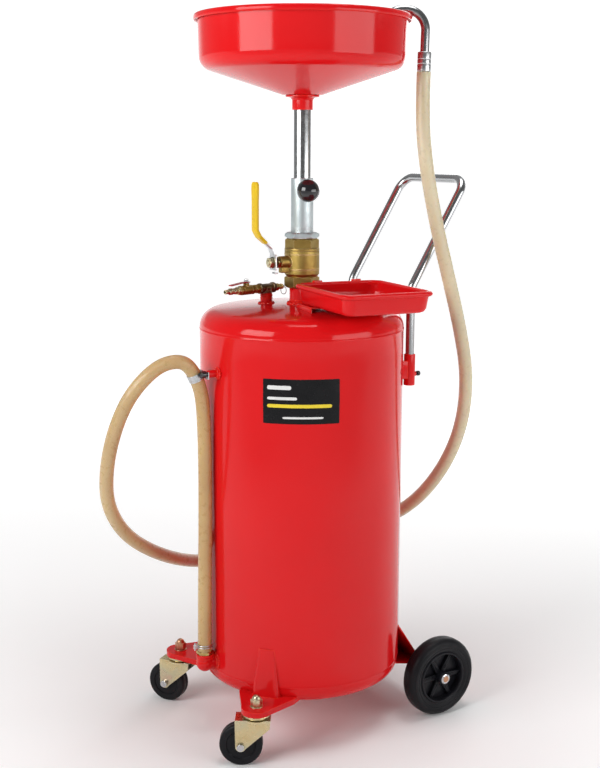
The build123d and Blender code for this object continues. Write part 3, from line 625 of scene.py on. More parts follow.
def dressed(node, finish, body, bevel):
    """A piece with the CAD node's own shape, its flat faces joined and its edges broken."""
    source = frame["nodes"][node]
    bm = bmesh.new()
    bm.from_mesh(source.data)
    bmesh.ops.remove_doubles(bm, verts=bm.verts, dist=2e-6)
    bmesh.ops.dissolve_limit(bm, angle_limit=radians(0.6), verts=bm.verts, edges=bm.edges)
    mesh = bpy.data.meshes.new(node + "_piece")
    bm.to_mesh(mesh)
    bm.free()
    mesh.materials.clear()
    put(node + "_piece", mesh, finish, body, (node,), sharp=30, bevel=bevel)


# ---- camera, floor and light ----------------------------------------------------------------------
def camera():
    data = bpy.data.cameras.new("camera")
    data.lens, data.sensor_width = LENS, 36
    data.clip_start, data.clip_end = 0.05, 50
    obj = bpy.data.objects.new("camera", data)
    bpy.context.scene.collection.objects.link(obj)
    forward = Vector(CAMERA_AIM).normalized()
    right = forward.cross(UP).normalized()
    up = right.cross(forward)
    turn = Matrix((right, up, -forward)).transposed().to_4x4()
    roll = Matrix.Rotation(radians(CAMERA_ROLL), 4, "Z")
    obj.matrix_world = Matrix.Translation(AXIS + Vector(CAMERA_AT)) @ turn @ roll
    bpy.context.scene.camera = obj


def area_light(name, place, target, size, power):
    data = bpy.data.lights.new(name, "AREA")
    data.shape, data.size, data.size_y, data.energy = "RECTANGLE", *size, power
    obj = bpy.data.objects.new(name, data)
    obj.location = AXIS + Vector(place)
    obj.rotation_euler = (Vector(target) - Vector(place)).to_track_quat("-Z", "Y").to_euler()
    obj.visible_camera = False
    bpy.context.scene.collection.objects.link(obj)


def ramp_down(tree, value, full, gone, high, low):
    """`high` where the value is at `full`, `low` where it is at `gone`, with a smooth change between them."""
    shade = tree.nodes.new("ShaderNodeMapRange")
    shade.interpolation_type = "SMOOTHSTEP"
    start, stop = (full, gone) if full < gone else (gone, full)
    first, last = (high, low) if full < gone else (low, high)
    for name, number in (("From Min", start), ("From Max", stop), ("To Min", first), ("To Max", last)):
        shade.inputs[name].default_value = number
    tree.links.new(value, shade.inputs["Value"])
    return shade.outputs["Result"]


def studio():
    """White paper behind and below the object, glowing with painted light, and a dim room around it, so that gloss and
    metal show softboxes.
    """
    world = bpy.data.worlds.new("studio")
    world.use_nodes = True
    bpy.context.scene.world = world
    tree = world.node_tree
    background = tree.nodes["Background"]
    coord = tree.nodes.new("ShaderNodeTexCoord")
    apart = tree.nodes.new("ShaderNodeSeparateXYZ")
    tree.links.new(coord.outputs["Generated"], apart.inputs[0])
    behind = vector_node(tree, "DOT_PRODUCT", coord.outputs["Generated"], TO_BACK)
    room = ramp_down(tree, behind, 0.80, -0.25, 0.40, 0.14)
    width = ramp_down(tree, behind, 0.95, 0.72, 0.75, 0.0)
    low = ramp_down(tree, apart.outputs["Z"], 0.12, 0.21, 1.0, 0.0)
    panel = math_node(tree, "MULTIPLY", width, low)
    tree.links.new(math_node(tree, "ADD", room, panel), background.inputs["Strength"])
    background.inputs["Color"].default_value = (1, 1, 1, 1)
    area_light("left_box", (0.306, -2.18, 1.62), (0, 0, 1.5), (1.5, 1.2), 44)
    area_light("right_box", (2.01, 0.895, 0.98), (0, 0, 0.98), (1.9, 0.8), 19)
    area_light("overhead", (0.2, 0.3, 3.4), (0, 0, 0.6), (1.6, 1.6), 40)
    area_light("back", (-1.6, 1.9, 1.6), (0, 0, 0.8), (1.4, 1.4), 10)
    sheet = bpy.data.meshes.new("paper")
    rim, reach = 64, (1, 2, 3.5, 6, 10, 20, 40)
    points = [p for radius in reach for p in turned(radius, 0, rim)]
    faces = [tuple(range(rim))]
    for i in range(len(reach) - 1):
        for k in range(rim):
            n = (k + 1) % rim
            faces.append((i * rim + k, i * rim + n, (i + 1) * rim + n, (i + 1) * rim + k))
    sheet.from_pydata(points, [], faces)
    m, tree, shader = material("glowing_paper")
    shader.inputs["Roughness"].default_value = 0.7
    shader.inputs["Specular IOR Level"].default_value = 0.1
    # The paper's glow is painted light: faint near the object, rising to full strength 3 m out, and cut back in front
    # of the object, so the floor near it stays shaded while the far floor reads white.
    place = tree.nodes.new("ShaderNodeTexCoord")
    away = vector_node(tree, "LENGTH", place.outputs["Object"])
    before = vector_node(tree, "DOT_PRODUCT", place.outputs["Object"], TO_FRONT)
    lit = ramp_down(tree, before, 0.45, 1.6, 1.0, 0.4)
    glow = remap(tree, away, 0.03, 0.82, 0.40, 3.0)
    shader.inputs["Emission Color"].default_value = (1, 1, 1, 1)
    tree.links.new(math_node(tree, "MULTIPLY", glow, lit), shader.inputs["Emission Strength"])
    shader.inputs["Base Color"].default_value = (0.88, 0.88, 0.88, 1)
    sheet.materials.append(m)
    obj = bpy.data.objects.new("paper", sheet)
    bpy.context.scene.collection.objects.link(obj)
    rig.stage(obj)
    bpy.context.scene.view_settings.view_transform = "Standard"


camera()
studio()


# ---- hose and nozzle ------------------------------------------------------------------------------
def route_line():
    """Points along the smooth line of the hose's route, in the row frame, and its length in metres."""
    curve = bpy.data.curves.new("hose_route", "CURVE")
    curve.dimensions = "3D"
    spline = curve.splines.new("NURBS")
    spline.points.add(len(HOSE_ROUTE) - 1)
    for point, place in zip(spline.points, HOSE_ROUTE):
        point.co = (*(TO_ROW @ Vector(place)), 1)
    spline.order_u = 3
    spline.use_endpoint_u = True
    spline.resolution_u = 12
    obj = bpy.data.objects.new("hose_route", curve)
    bpy.context.scene.collection.objects.link(obj)
    mesh = bpy.data.meshes.new_from_object(obj)
    points = [v.co.copy() for v in mesh.vertices]
    bpy.data.objects.remove(obj)
    bpy.data.meshes.remove(mesh)
    return points, sum((b - a).length for a, b in zip(points, points[1:]))


hose_points, hose_length = route_line()
local = [TO_ROW.inverted() @ p for p in hose_points]
hose = Shape().tube(local, HOSE_R, sides=32, mouths=(6, 6), wall=3.0, uv=True).piece("hose_tube", CLEAR_HOSE, None)


# ---- pieces with the CAD solids' own shapes -------------------------------------------------------
BODY_OF = {n: b for b, nodes in frame["record"]["behaviour"]["bodies"].items() for n in nodes}
for finish, names, rim in (
    (RED, "caster_brackets axle_carrier", 0.9),
    (YELLOW_ZINC, "caster_fork_right caster_fork_left", 0.7),
    (ZINC, "caster_axle_right caster_axle_left hose_clamp safety_pull_pin", 0.3),
    (ZINC, "tray_bolts bowl_strainer hose_clip bowl_locknut", 0.3),
    (BLACK_GLOSS, "hose_clip_knob", 0.5),
    (BRASS_TURNED, "valve_ball air_valve_ball", 0.0),
    (SEAL, "valve_seats mast_guides", 0.0),
    (RED_VINYL, "air_valve_lever", 0.4),
):
    for node in names.split():
        dressed(node, finish, BODY_OF[node], rim)


# ---- tank -----------------------------------------------------------------------------------------
def head_profile(base, knuckle, sign):
    """(r, z) points of a dished head's outside from the axis to the shell."""
    tilt = asin((TANK_R - knuckle) / (CROWN_R - knuckle))
    centre = base - sign * sqrt((CROWN_R - knuckle) ** 2 - (TANK_R - knuckle) ** 2)
    crown = [(CROWN_R * sin(tilt * k / 10), centre + sign * CROWN_R * cos(tilt * k / 10)) for k in range(11)]
    turn = [tilt + (pi / 2 - tilt) * k / 10 for k in range(1, 11)]
    return crown + [(TANK_R - knuckle + knuckle * sin(t), base + sign * knuckle * cos(t)) for t in turn]


def dome(rho):
    """Height of the top head's outside at that distance from the axis."""
    centre = SHELL_HIGH - sqrt((CROWN_R - TOP_KNUCKLE) ** 2 - (TANK_R - TOP_KNUCKLE) ** 2)
    return centre + sqrt(CROWN_R**2 - rho**2)


def seam(z, proud, width=5.0, steps=6):
    """A ground-down girth weld on the shell."""
    return [(TANK_R + proud * sin(pi * k / steps), z - width / 2 + width * k / steps) for k in range(steps + 1)]


profile = head_profile(SHELL_LOW, LOW_KNUCKLE, -1) + seam(SHELL_LOW + 6, 0.7)
profile += [(TANK_R, 300), (TANK_R, 500), (TANK_R, 700)] + seam(SHELL_HIGH - 3, 0.9)
profile += head_profile(SHELL_HIGH, TOP_KNUCKLE, 1)[::-1]
tank = Shape().lathe(profile, steps=192)
tank.piece("tank_body", RED, "root", "tank_shell", "tank_bottom_head", sharp=50)


def weld(name, points, size, body, finish=RED):
    """A run of overlapping weld ripples along points."""
    shape = Shape()
    lengths = [0.0]
    for a, b in zip(points, points[1:]):
        lengths.append(lengths[-1] + (b - a).length)
    total = lengths[-1]
    count = max(6, int(total / (size * 0.55)))
    for n in range(count):
        s = total * (n + 0.5) / count
        i = max(k for k in range(len(points) - 1) if lengths[k] <= s)
        t = (s - lengths[i]) / max(lengths[i + 1] - lengths[i], 1e-6)
        p = points[i].lerp(points[i + 1], t)
        wobble = 0.12 * sin(n * 2.4) + 0.08 * sin(n * 5.1 + 1)
        shape.ball(p, size * (0.62 + wobble), steps=12, rows=8)
    shape.piece(name, finish, body, sharp=60)


def foot_circle(x, y, r, steps=40):
    """A closed run of points where an upright pipe of radius r meets the top head."""
    out = [Vector((x, y, 0)) + p for p in turned(r, 0, steps)]
    for p in out:
        p.z = dome(hypot(p.x, p.y))
    return out + out[:1]


NECK = soften([(18, 776), (22.5, 776), (22.5, 813), (21.5, 814.5), (18, 814.5)], [0, 0, 1.2, 1.2, 0], closed=True)
neck = Shape().lathe(NECK, steps=64, loop=True)
neck.ring(788, 791, 20, 23.1)
neck.piece("neck_piece", RED, "root", "filler_neck")
weld("neck_weld", foot_circle(0, 0, 24.4), 5.2, "root")
at_riser = spot(LINE_X, LINE_Y, 0)
riser = Shape().bar(776, 801, 11, at_riser, edge=1.2)
riser.ring(791, 793, 9, 11.7, at_riser).ring(796, 798, 9, 11.7, at_riser)
tray_turn = spot(TRAY_X, TRAY_Y, 0) @ Matrix.Rotation(radians(TRAY_TURN), 4, "Z")
post_at = tray_turn @ spot(-74, 0, 0)
post = soften([(-30, -78), (30, -78), (30, 78), (-30, 78)], 4, closed=True)
riser.prism(post, 787, 790, post_at, edge=1.0)
for y in (-76, 76):
    flange = soften([(-30, -1.5), (30, -1.5), (30, 1.5), (-30, 1.5)], 1, closed=True)
    riser.prism(flange, 757, 788, post_at @ spot(0, y, 0), edge=0.5)
riser.piece("riser_and_tray_post", RED, "root", "tank_top_head")
weld("riser_weld", foot_circle(LINE_X, LINE_Y, 12.5), 4.6, "root")

at_clip = aim((20, -183, 675), (0, -1, 0))
boss = Shape().bar(-2, 6, 9.0, at_clip, edge=1.5).bar(4, 21.5, 6.5, at_clip, edge=1.0)
boss.piece("clip_boss", RED, "root")
clip_foot = [at_clip @ p for p in turned(9.2, 1.4, 24)]
weld("clip_weld", clip_foot + clip_foot[:1], 3.6, "root")


# ---- label ----------------------------------------------------------------------------------------
LABEL_AT = -32


def decal(name, finish, across, z0, z1, shift, lift, nodes=(), corner=1.5):
    """A thin round-cornered film on the shell, across millimetres wide and shift aside from the label's middle."""
    shape = Shape()
    columns, half_w, half_h = max(2, int(across / 3)), across / 2, (z1 - z0) / 2
    rows = []
    for j in range(3):
        row = []
        for i in range(columns + 1):
            u, v = -half_w + across * i / columns, -half_h + half_h * j
            du, dv = max(abs(u) - (half_w - corner), 0), max(abs(v) - (half_h - corner), 0)
            if du and dv and hypot(du, dv) > corner:
                inward = 1 - corner / hypot(du, dv)
                u -= copysign(du * inward, u)
                v -= copysign(dv * inward, v)
            a = radians(LABEL_AT) + (u + shift) / TANK_R
            row.append(shape.bm.verts.new(((TANK_R + lift) * cos(a), (TANK_R + lift) * sin(a), (z0 + z1) / 2 + v)))
        rows.append(row)
    for a, b in zip(rows, rows[1:]):
        for i in range(columns):
            shape.bm.faces.new((a[i], a[i + 1], b[i + 1], b[i]))
    bmesh.ops.solidify(shape.bm, geom=shape.bm.faces[:], thickness=-0.12)
    shape.piece(name, finish, "root", *nodes)


decal("label_film", LABEL, 133, 600, 677, 0, 0.30, nodes=("data_plate",))
decal("label_bar_title", PRINT_WHITE, 42, 659, 666, -38, 0.44, corner=3)
decal("label_bar_upper", PRINT_WHITE, 52, 641.5, 646.5, -33, 0.44, corner=2.4)
decal("label_bar_middle", PRINT_YELLOW, 112, 628, 634, -3, 0.44, corner=2.9)
decal("label_bar_lower", PRINT_WHITE, 70, 609, 612.5, 3, 0.44, corner=1.7)


# ---- bowl -----------------------------------------------------------------------------------------
outside = soften([(18.6, 1151.5), (35, 1151.5), (181, 1198), (183, 1277)], [0, 8, 26, 0], arc=10)
inside = soften([(18.6, 1152.9), (34.6, 1152.9), (179.7, 1199.3), (181.5, 1277)], [0, 8, 25, 0], arc=10)
rolled = [(181.6, 1280.5), (182.4, 1284), (184.8, 1286.2), (187.6, 1286.4), (189.6, 1284.8), (190.3, 1282.2),
          (190.3, 1278.2), (189.5, 1276.3), (188.1, 1276.2), (187.4, 1277.6), (187.4, 1281.4), (186.2, 1282.8),
          (184.6, 1281.8), (183.3, 1278.6)]
skin = [tuple(p) for p in outside] + list(reversed(rolled)) + [tuple(p) for p in reversed(inside)]
drain = Shape().lathe(skin, steps=192, loop=True)
drain.piece("bowl_piece", RED, "mast", "drain_bowl", sharp=50)
hub_corners = [(15.6, 1126, 0.8), (18.5, 1126, 1.0), (18.5, 1143, 3), (21.5, 1147, 3), (30, 1148.2, 0.9),
               (30, 1151.3, 0.9), (18.4, 1151.4, 0.3), (18.4, 1162.4, 0.6), (12, 1162.4, 0.6), (12, 1146, 0.5),
               (15.6, 1146, 0.5)]
hub_profile = soften([(r, z) for r, z, _ in hub_corners], [bend for *_, bend in hub_corners], closed=True)
hub = Shape().lathe(hub_profile, steps=72, loop=True)
hub.piece("bowl_hub_piece", RED, "mast", "bowl_hub")


# ---- mast -----------------------------------------------------------------------------------------
inner = Shape().ring(526, 1146, 13.7, 15.5, edge=0.6, steps=96)
inner.piece("inner_tube", CHROME, "mast", "mast_inner_tube")
outer = Shape().ring(906, 1007.5, 17.5, OUTER_R, edge=0.8, steps=96)
for k in range(9):
    z = 907 + 1.6 * k
    outer.ring(z, z + 1.3, OUTER_R - 0.5, OUTER_R + 0.22, edge=0.4)
lock = aim((0, 0, LOCK_Z), polar(1, LOCK_DIR, 0))
outer.hexagon(15, 19, 26.5, lock)
outer.piece("outer_tube", GALVANISED, "root", "mast_outer_tube")
lock_foot = [lock @ Vector((p.x, p.y, sqrt(OUTER_R**2 - p.y**2))) for p in turned(8.2, 0, 24)]
weld("lock_weld", lock_foot + lock_foot[:1], 2.4, "root", GALVANISED)
ball = [(r, z) for r, z in arc_points(0, 47, 20, -58, 90, 6) if z > 30.2]
knob = Shape().lathe([(0, 30.0), (9.6, 30.0)] + ball + [(0, 67)], lock, steps=64)
knob.piece("lock_ball", BLACK_GLOSS, "mast_lock", "mast_lock_knob")
screw = Shape().bar(15.8, 31, 4.0, lock, edge=0.5)
for k in range(3):
    screw.ring(26.8 + 1.1 * k, 27.6 + 1.1 * k, 3.5, 4.35, lock, edge=0.3, steps=32)
screw.piece("lock_screw", ZINC, "mast_lock")


# ---- tray -----------------------------------------------------------------------------------------
def tray_rings():
    """Half width, half depth, corner radius and height of the skin, from outside floor round the rim to inside."""
    depth, top = 37, 827
    floor = top - depth
    out = [(80, 59, 12, floor), (91, 70, 14, floor + 0.2), (95.5, 74.5, 16, floor + 2.4)]
    out += [(98.6, 77.6, 18, floor + 8), (101, 80, 19, top - 12), (102.2, 81.2, 20, top - 6.5)]
    out += [(102.4 + bend, 81.4 + bend, 21, z) for bend, z in arc_points(0, top - 4.7, 4.6, -90, 181, 30)]
    out += [(99.6, 78.6, 18.5, top - 10), (97.2, 76.2, 17, floor + 9), (94.2, 73.2, 15, floor + 4)]
    return out + [(89.5, 68.5, 13, floor + 2.2), (80, 59, 12, floor + 2.0)]


tray = Shape().rings([[tray_turn @ Vector((*p, z)) for p in rounded_rect(2 * half_w, 2 * half_d, r, arc=10)]
                      for half_w, half_d, r, z in tray_rings()])
tab = soften([(-9, -3.4), (9, -3.4), (9, 3.4), (-9, 3.4)], 2.2, closed=True)
for y in (-38, 38):
    tray.prism(tab, 822.5, 829.6, tray_turn @ spot(-104.6, y, 0) @ Matrix.Rotation(pi / 2, 4, "Z"), edge=1.2)
tray.piece("tray_piece", RED, "root", "tool_tray", sharp=50)


# ---- wheels ---------------------------------------------------------------------------------------
def rear_wheel(side, out):
    place = aim((out * REAR_X, REAR_Y, REAR_R), (out, 0, 0))
    body = "rear_wheel_" + side
    section = [(50, -14.2), (55, -16.4), (62, -18), (66, -18)] + arc_points(61.5, -4.5, 13.5, -75, 1, 15)
    section += [(75, -1.0), (75.0, -0.5), (74.6, 0), (75.0, 0.5), (75, 1.0)] + arc_points(61.5, 4.5, 13.5, 0, 76, 15)
    section += [(66, 18), (62, 18), (59.5, 17.6), (58.8, 16.9), (58.1, 17.3), (55, 16.4), (50, 14.2)]
    tyre = Shape().lathe(section, place, steps=128, loop=True)
    tyre.piece(body + "_tyre", RUBBER, body, "rear_tyre_" + side, sharp=50)
    rim = [(44.6, -14), (50.3, -14), (50.3, 14), (48.6, 16.4), (46.0, 16.2), (44.6, 13)]
    hub = Shape().lathe(soften(rim, [1, 1, 1, 1.4, 1.4, 1.4], closed=True), place, steps=128, loop=True)
    web = soften([(6.2, -3.5), (45.2, -3.5), (45.2, 0.5), (6.2, 0.5)], 0.3, closed=True)
    hub.lathe(web, place, steps=96, loop=True)
    boss = soften([(6.15, -25), (12, -25), (12, 20.5), (10.5, 22), (6.15, 22)], [0.4, 1, 1, 1, 0.4], closed=True)
    hub.lathe(boss, place, steps=64, loop=True)
    spoke = soften([(10.8, -5.2), (45.4, -3.6), (45.4, 3.6), (10.8, 5.2)], 0.6, closed=True)
    rib = soften([(16, -1.0), (44, -0.8), (44, 0.8), (16, 1.0)], 0.4, closed=True)
    for k in range(6):
        turn = place @ Matrix.Rotation(radians(60 * k), 4, "Z")
        hub.prism(spoke, -6.5, 8.0, turn, edge=1.2)
        hub.prism(rib, 6.5, 8.8, turn, edge=0.4)
    hub.piece(body + "_hub", BLACK_MOULDED, body, "rear_hub_" + side)


for side, out in (("right", 1), ("left", -1)):
    rear_wheel(side, out)

axle = Shape().bar(-177, 177, 6.0, aim((0, REAR_Y, REAR_R), (1, 0, 0)), edge=0.8)
axle.piece("axle_bar", COPPER, "root", "rear_axle")
push_nut = soften([(6.05, 174.4), (9.5, 174.4), (9.5, 175.2), (7.5, 176.2), (6.05, 176.2)], 0.3, closed=True)
caps = Shape()
for out in (1, -1):
    caps.lathe(push_nut, aim((0, REAR_Y, REAR_R), (out, 0, 0)), steps=48, loop=True)
caps.piece("axle_caps", ZINC, "root", "axle_push_nuts")

tread = [(4.1, -14.3), (8.0, -14.3), (8.3, -9.8), (24.6, -9.2), (26.2, -11.2), (33, -12)]
tread += arc_points(33, -7, 5, -75, 1, 15) + [(38, -0.6), (37.75, 0), (38, 0.6)] + arc_points(33, 7, 5, 0, 76, 15)
tread += [(33, 12), (26.2, 11.2), (24.6, 9.2), (8.3, 9.8), (8.0, 14.3), (4.1, 14.3)]
for side, out, heading in (("right", 1, (-0.55, -0.83, 0)), ("left", -1, (-0.82, -0.57, 0))):
    ahead = Vector(heading).normalized()
    centre = Vector((out * CASTER_X, CASTER_Y, CASTER_R)) + CASTER_TRAIL * ahead
    wheel = Shape().lathe(tread, aim(centre, (-ahead.y, ahead.x, 0)), steps=96, loop=True)
    wheel.piece("caster_tyre_" + side, RUBBER, "caster_roll_" + side, "caster_wheel_" + side, sharp=40)

race = soften([(6, 90.2), (21.5, 90.2), (24.5, 91.6), (24.5, 94.6), (22, 96.0), (6, 96.0)],
              [0, 1.2, 1.4, 1.6, 1.6, 0], closed=True, arc=5)
heads, nuts_near, nuts_far = Shape(), Shape(), Shape()
for out, nut in ((1, nuts_near), (-1, nuts_far)):
    stem = spot(out * CASTER_X, CASTER_Y, 0)
    heads.lathe(race, stem, steps=96, loop=True)
    heads.ring(96.0, 101.9, 6, 13, stem)
    heads.ring(87.5, 90.4, 6, 20, stem, edge=1.0)
    heads.bar(81, 117.6, 6.0, stem)
    heads.bar(80.6, 83.6, 9.0, stem, edge=1.0)
    nut.hexagon(18, 107.8, 120.5, stem)
    nut.ring(106.05, 107.7, 6, 11.5, stem)
    nut.lathe([(0, 118), (8.2, 118)] + arc_points(0, 120.4, 7.6, 5, 90, 8) + [(0, 128)], stem, steps=48)
heads.piece("swivel_races", YELLOW_ZINC, "root", "caster_swivel_heads")
nuts_near.piece("cap_nut_right", YELLOW_ZINC, "root", "caster_stem_nuts")
nuts_far.piece("cap_nut_left", COPPER, "root")


# ---- handle, hook and ferrule ---------------------------------------------------------------------
leg = [(HANDLE_Y, 636), (HANDLE_Y, 810), (296, 1005)]
bar_line = [(-HANDLE_X, *p) for p in leg] + [(HANDLE_X, *p) for p in leg[::-1]]
grip = Shape().tube(soften(bar_line, [0, 40, 30, 30, 40, 0], arc=14), 8.0, sides=48, mouths=(12, 12))
grip.piece("handle_tube", CHROME, "handle", "push_handle")
lug = soften([(-6.5, -24), (6.5, -24), (6.5, -7), (-6.5, -7)], 1.5, closed=True)
sockets = Shape()
for out in (1, -1):
    stand = spot(out * HANDLE_X, HANDLE_Y, 0)
    sockets.ring(632, 690, 8.05, 10.5, stand, edge=0.7)
    sockets.bar(0, 7, 5.0, aim((out * HANDLE_X, HANDLE_Y + 6, CLAMP_Z), (0, 1, 0)), edge=0.7)
    sockets.prism(lug, 645, 678, stand, edge=1.0)
sockets.piece("socket_pair", RED, "root", "handle_sockets")
knurled = [p.normalized() * (4.5 + 0.3 * cos(20 * pi * k / 80)) for k, p in enumerate(turned(4.5, 0, 80))]
for side, out in (("right", 1), ("left", -1)):
    turn = aim((out * HANDLE_X, HANDLE_Y, CLAMP_Z), (0, 1, 0))
    thumb = Shape().bar(8.3, 18, 2.5, turn).prism(knurled, 17, 23, turn, edge=0.8)
    thumb.piece("clamp_screw_" + side, BLACK_GLOSS, "handle_clamp_" + side, "handle_screw_" + side)

foot = Vector(HOSE_ROUTE[-1])
rise = (foot - Vector(HOSE_ROUTE[-2])).normalized()
inner_rho, top_z = HOOK_RHO - HOOK_BEND, HOOK_Z + HOOK_BEND
hook_line = [foot + rise * 6, foot + rise * ((top_z - foot.z) / rise.z)]
hook_line += [polar(inner_rho, HOOK_DIR, top_z), polar(inner_rho, HOOK_DIR, HOOK_Z - 32)]
hook_line = soften(hook_line, [0, HOOK_BEND - 0.1, HOOK_BEND - 0.1, 0], arc=20)
hook = Shape().tube(hook_line, HOOK_R, sides=48, mouths=(0, 20))
hook = hook.piece("hook_tube", CHROME, "mast", "nozzle_hook")
sleeve = [(HOOK_R + 0.15, 1), (12.2, 0.6), (12.2, 12), (11.7, 13), (12.2, 14), (12.2, 20), (11.7, 21), (12.2, 22),
          (12.2, FERRULE_L - 0.6), (HOOK_R + 0.15, FERRULE_L)]
sleeve = soften(sleeve, [0, 0.8, 0.8, 0.5, 0.8, 0.8, 0.5, 0.8, 1.6, 0], closed=True)
ferrule = Shape().lathe(sleeve, aim(foot, rise), steps=72, loop=True)
ferrule = ferrule.piece("ferrule_sleeve", ZINC, "mast", "nozzle_ferrule")
HOSE_PIECES = [hook, ferrule]


# ---- main valve -----------------------------------------------------------------------------------
valve = Shape().hexagon(55, 813, 834)
casting = [(21.8, 832), (27.0, 832), (31.5, 838), (31.5, 852), (31.5, 868), (31.5, 880), (21.8, 880)]
valve.lathe(soften(casting, [0, 2, 2.5, 0, 0, 1.2, 0], closed=True), steps=128, loop=True)
valve.ring(845.5, 847.5, 29, 32.0, edge=0.9).ring(872.5, 874.5, 29, 32.0, edge=0.9)
stem_line = aim((0, 0, STEM_Z), (0, -1, 0))
gland = aim((0, -20, STEM_Z), (0, -1, 0))
neck_line = soften([(0, 4), (13.5, 4), (13.0, 9), (10.75, 13), (10.75, 28), (0, 28)], [0, 0, 2, 2, 0.8, 0])
valve.lathe(neck_line, gland, steps=64)
valve.prism(soften([(-6, -46), (6, -46), (6, -26), (-6, -26)], 1.5, closed=True), 841, 851, edge=1.2)
valve.piece("valve_casting", BRASS, "root", "valve_body")
cap = Shape().hexagon(53, 881, 901.5)
cap.ring(879.5, 884, 22, 31.5, edge=1.0, steps=96)
cap.piece("valve_cap", BRASS, "root", "valve_end")
packing = Shape().hexagon(19, 48, 54, stem_line, bore=5.2)
packing.piece("packing_nut", BRASS_TURNED, "root", "valve_packing_nut")
bushing = Shape().hexagon(54, 901.5, 912)
bushing.ring(901.6, 903.2, 20, 27.6, edge=0.5)
bushing.piece("reducing_bush", GALVANISED, "root", "mast_bushing")
stem = Shape().bar(24.6, 71.5, 5.0, stem_line, edge=0.8)
stem.hexagon(17, 61.7, 70, stem_line).ring(59.9, 61.7, 5, 9.2, stem_line)
stem.piece("stem_and_nut", YELLOW_ZINC, "valve_handle", "valve_stem")


def stations(line):
    """Each point of a line in the YZ plane, with the direction square to the line there."""
    for i, p in enumerate(line):
        t = (line[min(i + 1, len(line) - 1)] - line[max(i - 1, 0)]).normalized()
        yield p, t.cross(X)


X = Vector((1, 0, 0))
LEVER_LINE = [(-60, 846.5), (-60, 873), (-66, 886), (-90, 907), (-96.5, 918), (-96.5, 999)]
blade = soften([Vector((0, *p)) for p in LEVER_LINE], 7, arc=5)
sections = []
for i, (p, n) in enumerate(stations(blade)):
    share = i / (len(blade) - 1)
    w, h, e = 11 - 3.4 * min(max((share - 0.12) / 0.2, 0), 1), 1.5, 0.8
    corner = [(w, h - e), (w - e * 0.3, h - e * 0.3), (w - e, h)]
    sections.append([p + X * sx * a + n * sn * b for sx, sn in ((1, 1), (-1, 1), (-1, -1), (1, -1))
                     for a, b in (corner if sx * sn > 0 else corner[::-1])])
lever = Shape().rings(sections)
hook_tab = soften([(-5, -3.6), (5, -3.6), (5, 3.6), (-5, 3.6)], 1.2, closed=True)
lever.prism(hook_tab, 839.8, 843.0, spot(0, -56.5, 0), edge=0.6)
lever.bar(-1.5, 1.5, 11, aim((0, -60, STEM_Z), (0, -1, 0)), edge=0.6)
lever.piece("lever_blade", ZINC, "valve_handle", "valve_lever")


def grip_piece():
    """Dipped vinyl over the lever's outer end and down its slant, thicker at its rounded tip."""
    line = soften([Vector((0, *p)) for p in [(-77, 895.6), (-90, 907), (-96.5, 918), (-96.5, 1001.8)]], 7, arc=5)
    tail = line.pop()
    line += [line[-1].lerp(tail, t) for t in (0.3, 0.6, 0.85, 0.94, 0.98, 1.0)]
    wide = [8.6, 9.0] + [9.2] * (len(line) - 6) + [10.2, 9.8, 8.6, 6.6]
    thick = [2.6, 3.1] + [3.3] * (len(line) - 6) + [3.5, 3.3, 2.8, 2.0]
    rings = []
    for (p, n), w, h in zip(stations(line), wide, thick):
        rings.append([p + X * q.x + n * q.y for q in rounded_rect(2 * w, 2 * h, 0.85 * h, arc=6)])
    Shape().rings(rings).piece("lever_grip", VINYL, "valve_handle", "valve_lever_grip", sharp=60)


grip_piece()


# ---- air line -------------------------------------------------------------------------------------
# ALONG's own Z runs out along the fittings, away from the main valve; LINE's own Z stays upright.
LINE = spot(LINE_X, LINE_Y, LINE_Z) @ Matrix.Rotation(radians(LINE_TURN), 4, "Z")
ALONG = LINE @ aim((0, 0, 0), (0, -1, 0))
COCK = LINE @ spot(0, -50, 0)
tee = Shape().bar(-19, 19, 8.0, ALONG, edge=0.8)
tee.ring(-19, -13, 7, 9.6, ALONG, edge=1.2).ring(13, 19, 7, 9.6, ALONG, edge=1.2)
tee.bar(-9, 2, 9.5, LINE, edge=1.0).ring(-9, -4.5, 8, 10.6, LINE, edge=1.0)
tee.piece("tee_piece", DARK_PLATED, "root", "air_tee")
stopcock = Shape().hexagon(15, 19, 29, ALONG).bar(28, 34, 6.0, ALONG)
for k in range(3):
    stopcock.ring(29.4 + 1.5 * k, 30.4 + 1.5 * k, 5, 6.5, ALONG, edge=0.4, steps=32)
stopcock.hexagon(16, 34, 41, ALONG).bar(40, 60, 8.5, ALONG, edge=1.6).hexagon(16, 59, 66, ALONG)
stopcock.bar(0, 12.5, 5.5, COCK, edge=0.7)
stopcock.piece("stopcock_body", BRASS, "root", "air_valve_body")
cock_stem = Shape().bar(6.3, 20.5, 2.5, COCK, edge=0.4).hexagon(8, 15.2, 19, COCK)
cock_stem.piece("stopcock_stem", ZINC, "air_handle", "air_valve_stem")
plug = Shape().hexagon(14, 66, 73, ALONG)
nipple = [(2.6, 72), (5.6, 72), (5.6, 80), (4.2, 81.5), (4.2, 83.5),
          (5.9, 85), (5.9, 91), (4.0, 93), (4.0, 102), (2.6, 102)]
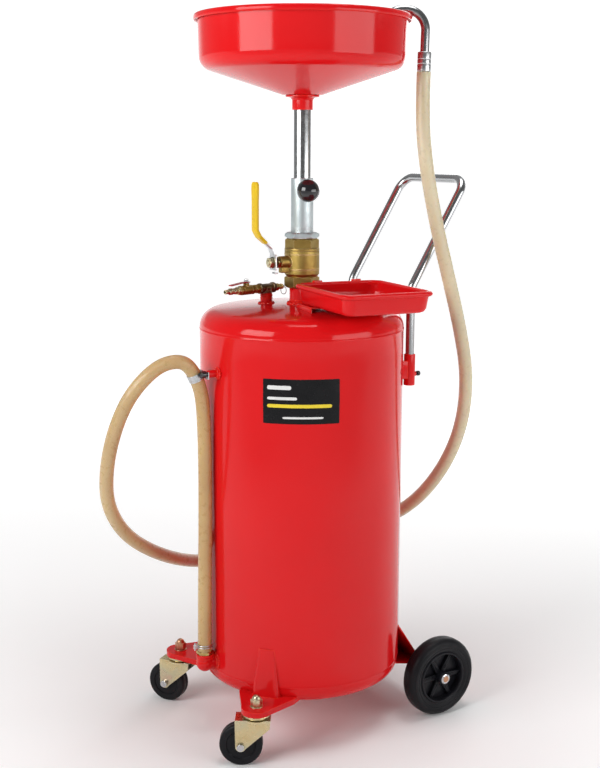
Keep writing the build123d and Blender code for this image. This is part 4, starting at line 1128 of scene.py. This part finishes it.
plug.lathe(soften(nipple, [0, 0.5] + [0.8] * 6 + [0.5, 0], closed=True), ALONG, steps=48, loop=True)
plug.piece("coupler_plug", YELLOW_ZINC, "root", "air_inlet_plug")
relief = Shape().hexagon(13, -19, -28, ALONG).bar(-41, -27, 5.0, ALONG, edge=0.9)
relief.ring(-38, -36.5, 4.4, 5.5, ALONG, edge=0.4)
relief.piece("relief_valve", BRASS_TURNED, "root", "safety_valve")


# ---- outlet ---------------------------------------------------------------------------------------
riser_place = spot(0, ELBOW_Y, 0)
elbow_line = soften([(0, -178, ELBOW_Z), (0, ELBOW_Y, ELBOW_Z), (0, ELBOW_Y, 156)], [0, 14, 0], arc=10)
elbow = Shape().tube(elbow_line, 15.0, sides=64, mouths=(0, 3), wall=5.5)
elbow.ring(149, 156, 9, 16.0, riser_place, edge=1.8)
elbow.ring(2, 9, 9, 16.0, aim((0, -180, ELBOW_Z), (0, -1, 0)), edge=1.8)
elbow.ball((0, ELBOW_Y, ELBOW_Z), 15.6)
elbow.piece("elbow_piece", RED, "root", "outlet_elbow")
elbow_foot = [Vector((p.x, -sqrt(TANK_R**2 - p.x**2), ELBOW_Z + p.y)) for p in turned(16.5, 0, 30)]
weld("elbow_weld", elbow_foot + elbow_foot[:1], 4.0, "root")
barb = Shape().hexagon(27, 156.05, 162, riser_place).bar(161, 189, 9.3, riser_place)
barb.piece("barb_piece", BRASS_TURNED, "root", "outlet_barb")


# ---- the hose joins its ends, and the rest --------------------------------------------------------
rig.cord(hose, exit=hose_points[0], length=hose_length, diameter=2 * HOSE_R * MM, far_end="fitting", stiffness="stiff",
        lay="loose", path=hose_points, with_pieces=HOSE_PIECES)
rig.replaces(hose, "drain_hose")
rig.slot(hose, "clear_hose")
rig.blend(hose, "root", "mast", start=TO_ROW @ Vector((0, 225, 375)), end=TO_ROW @ Vector((0, 605, 755)))

visual_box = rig.bounds()
with open("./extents.json", "w") as out:
    json.dump({"cad": [list(p) for p in cad_box], "visual": [list(p) for p in visual_box]}, out)
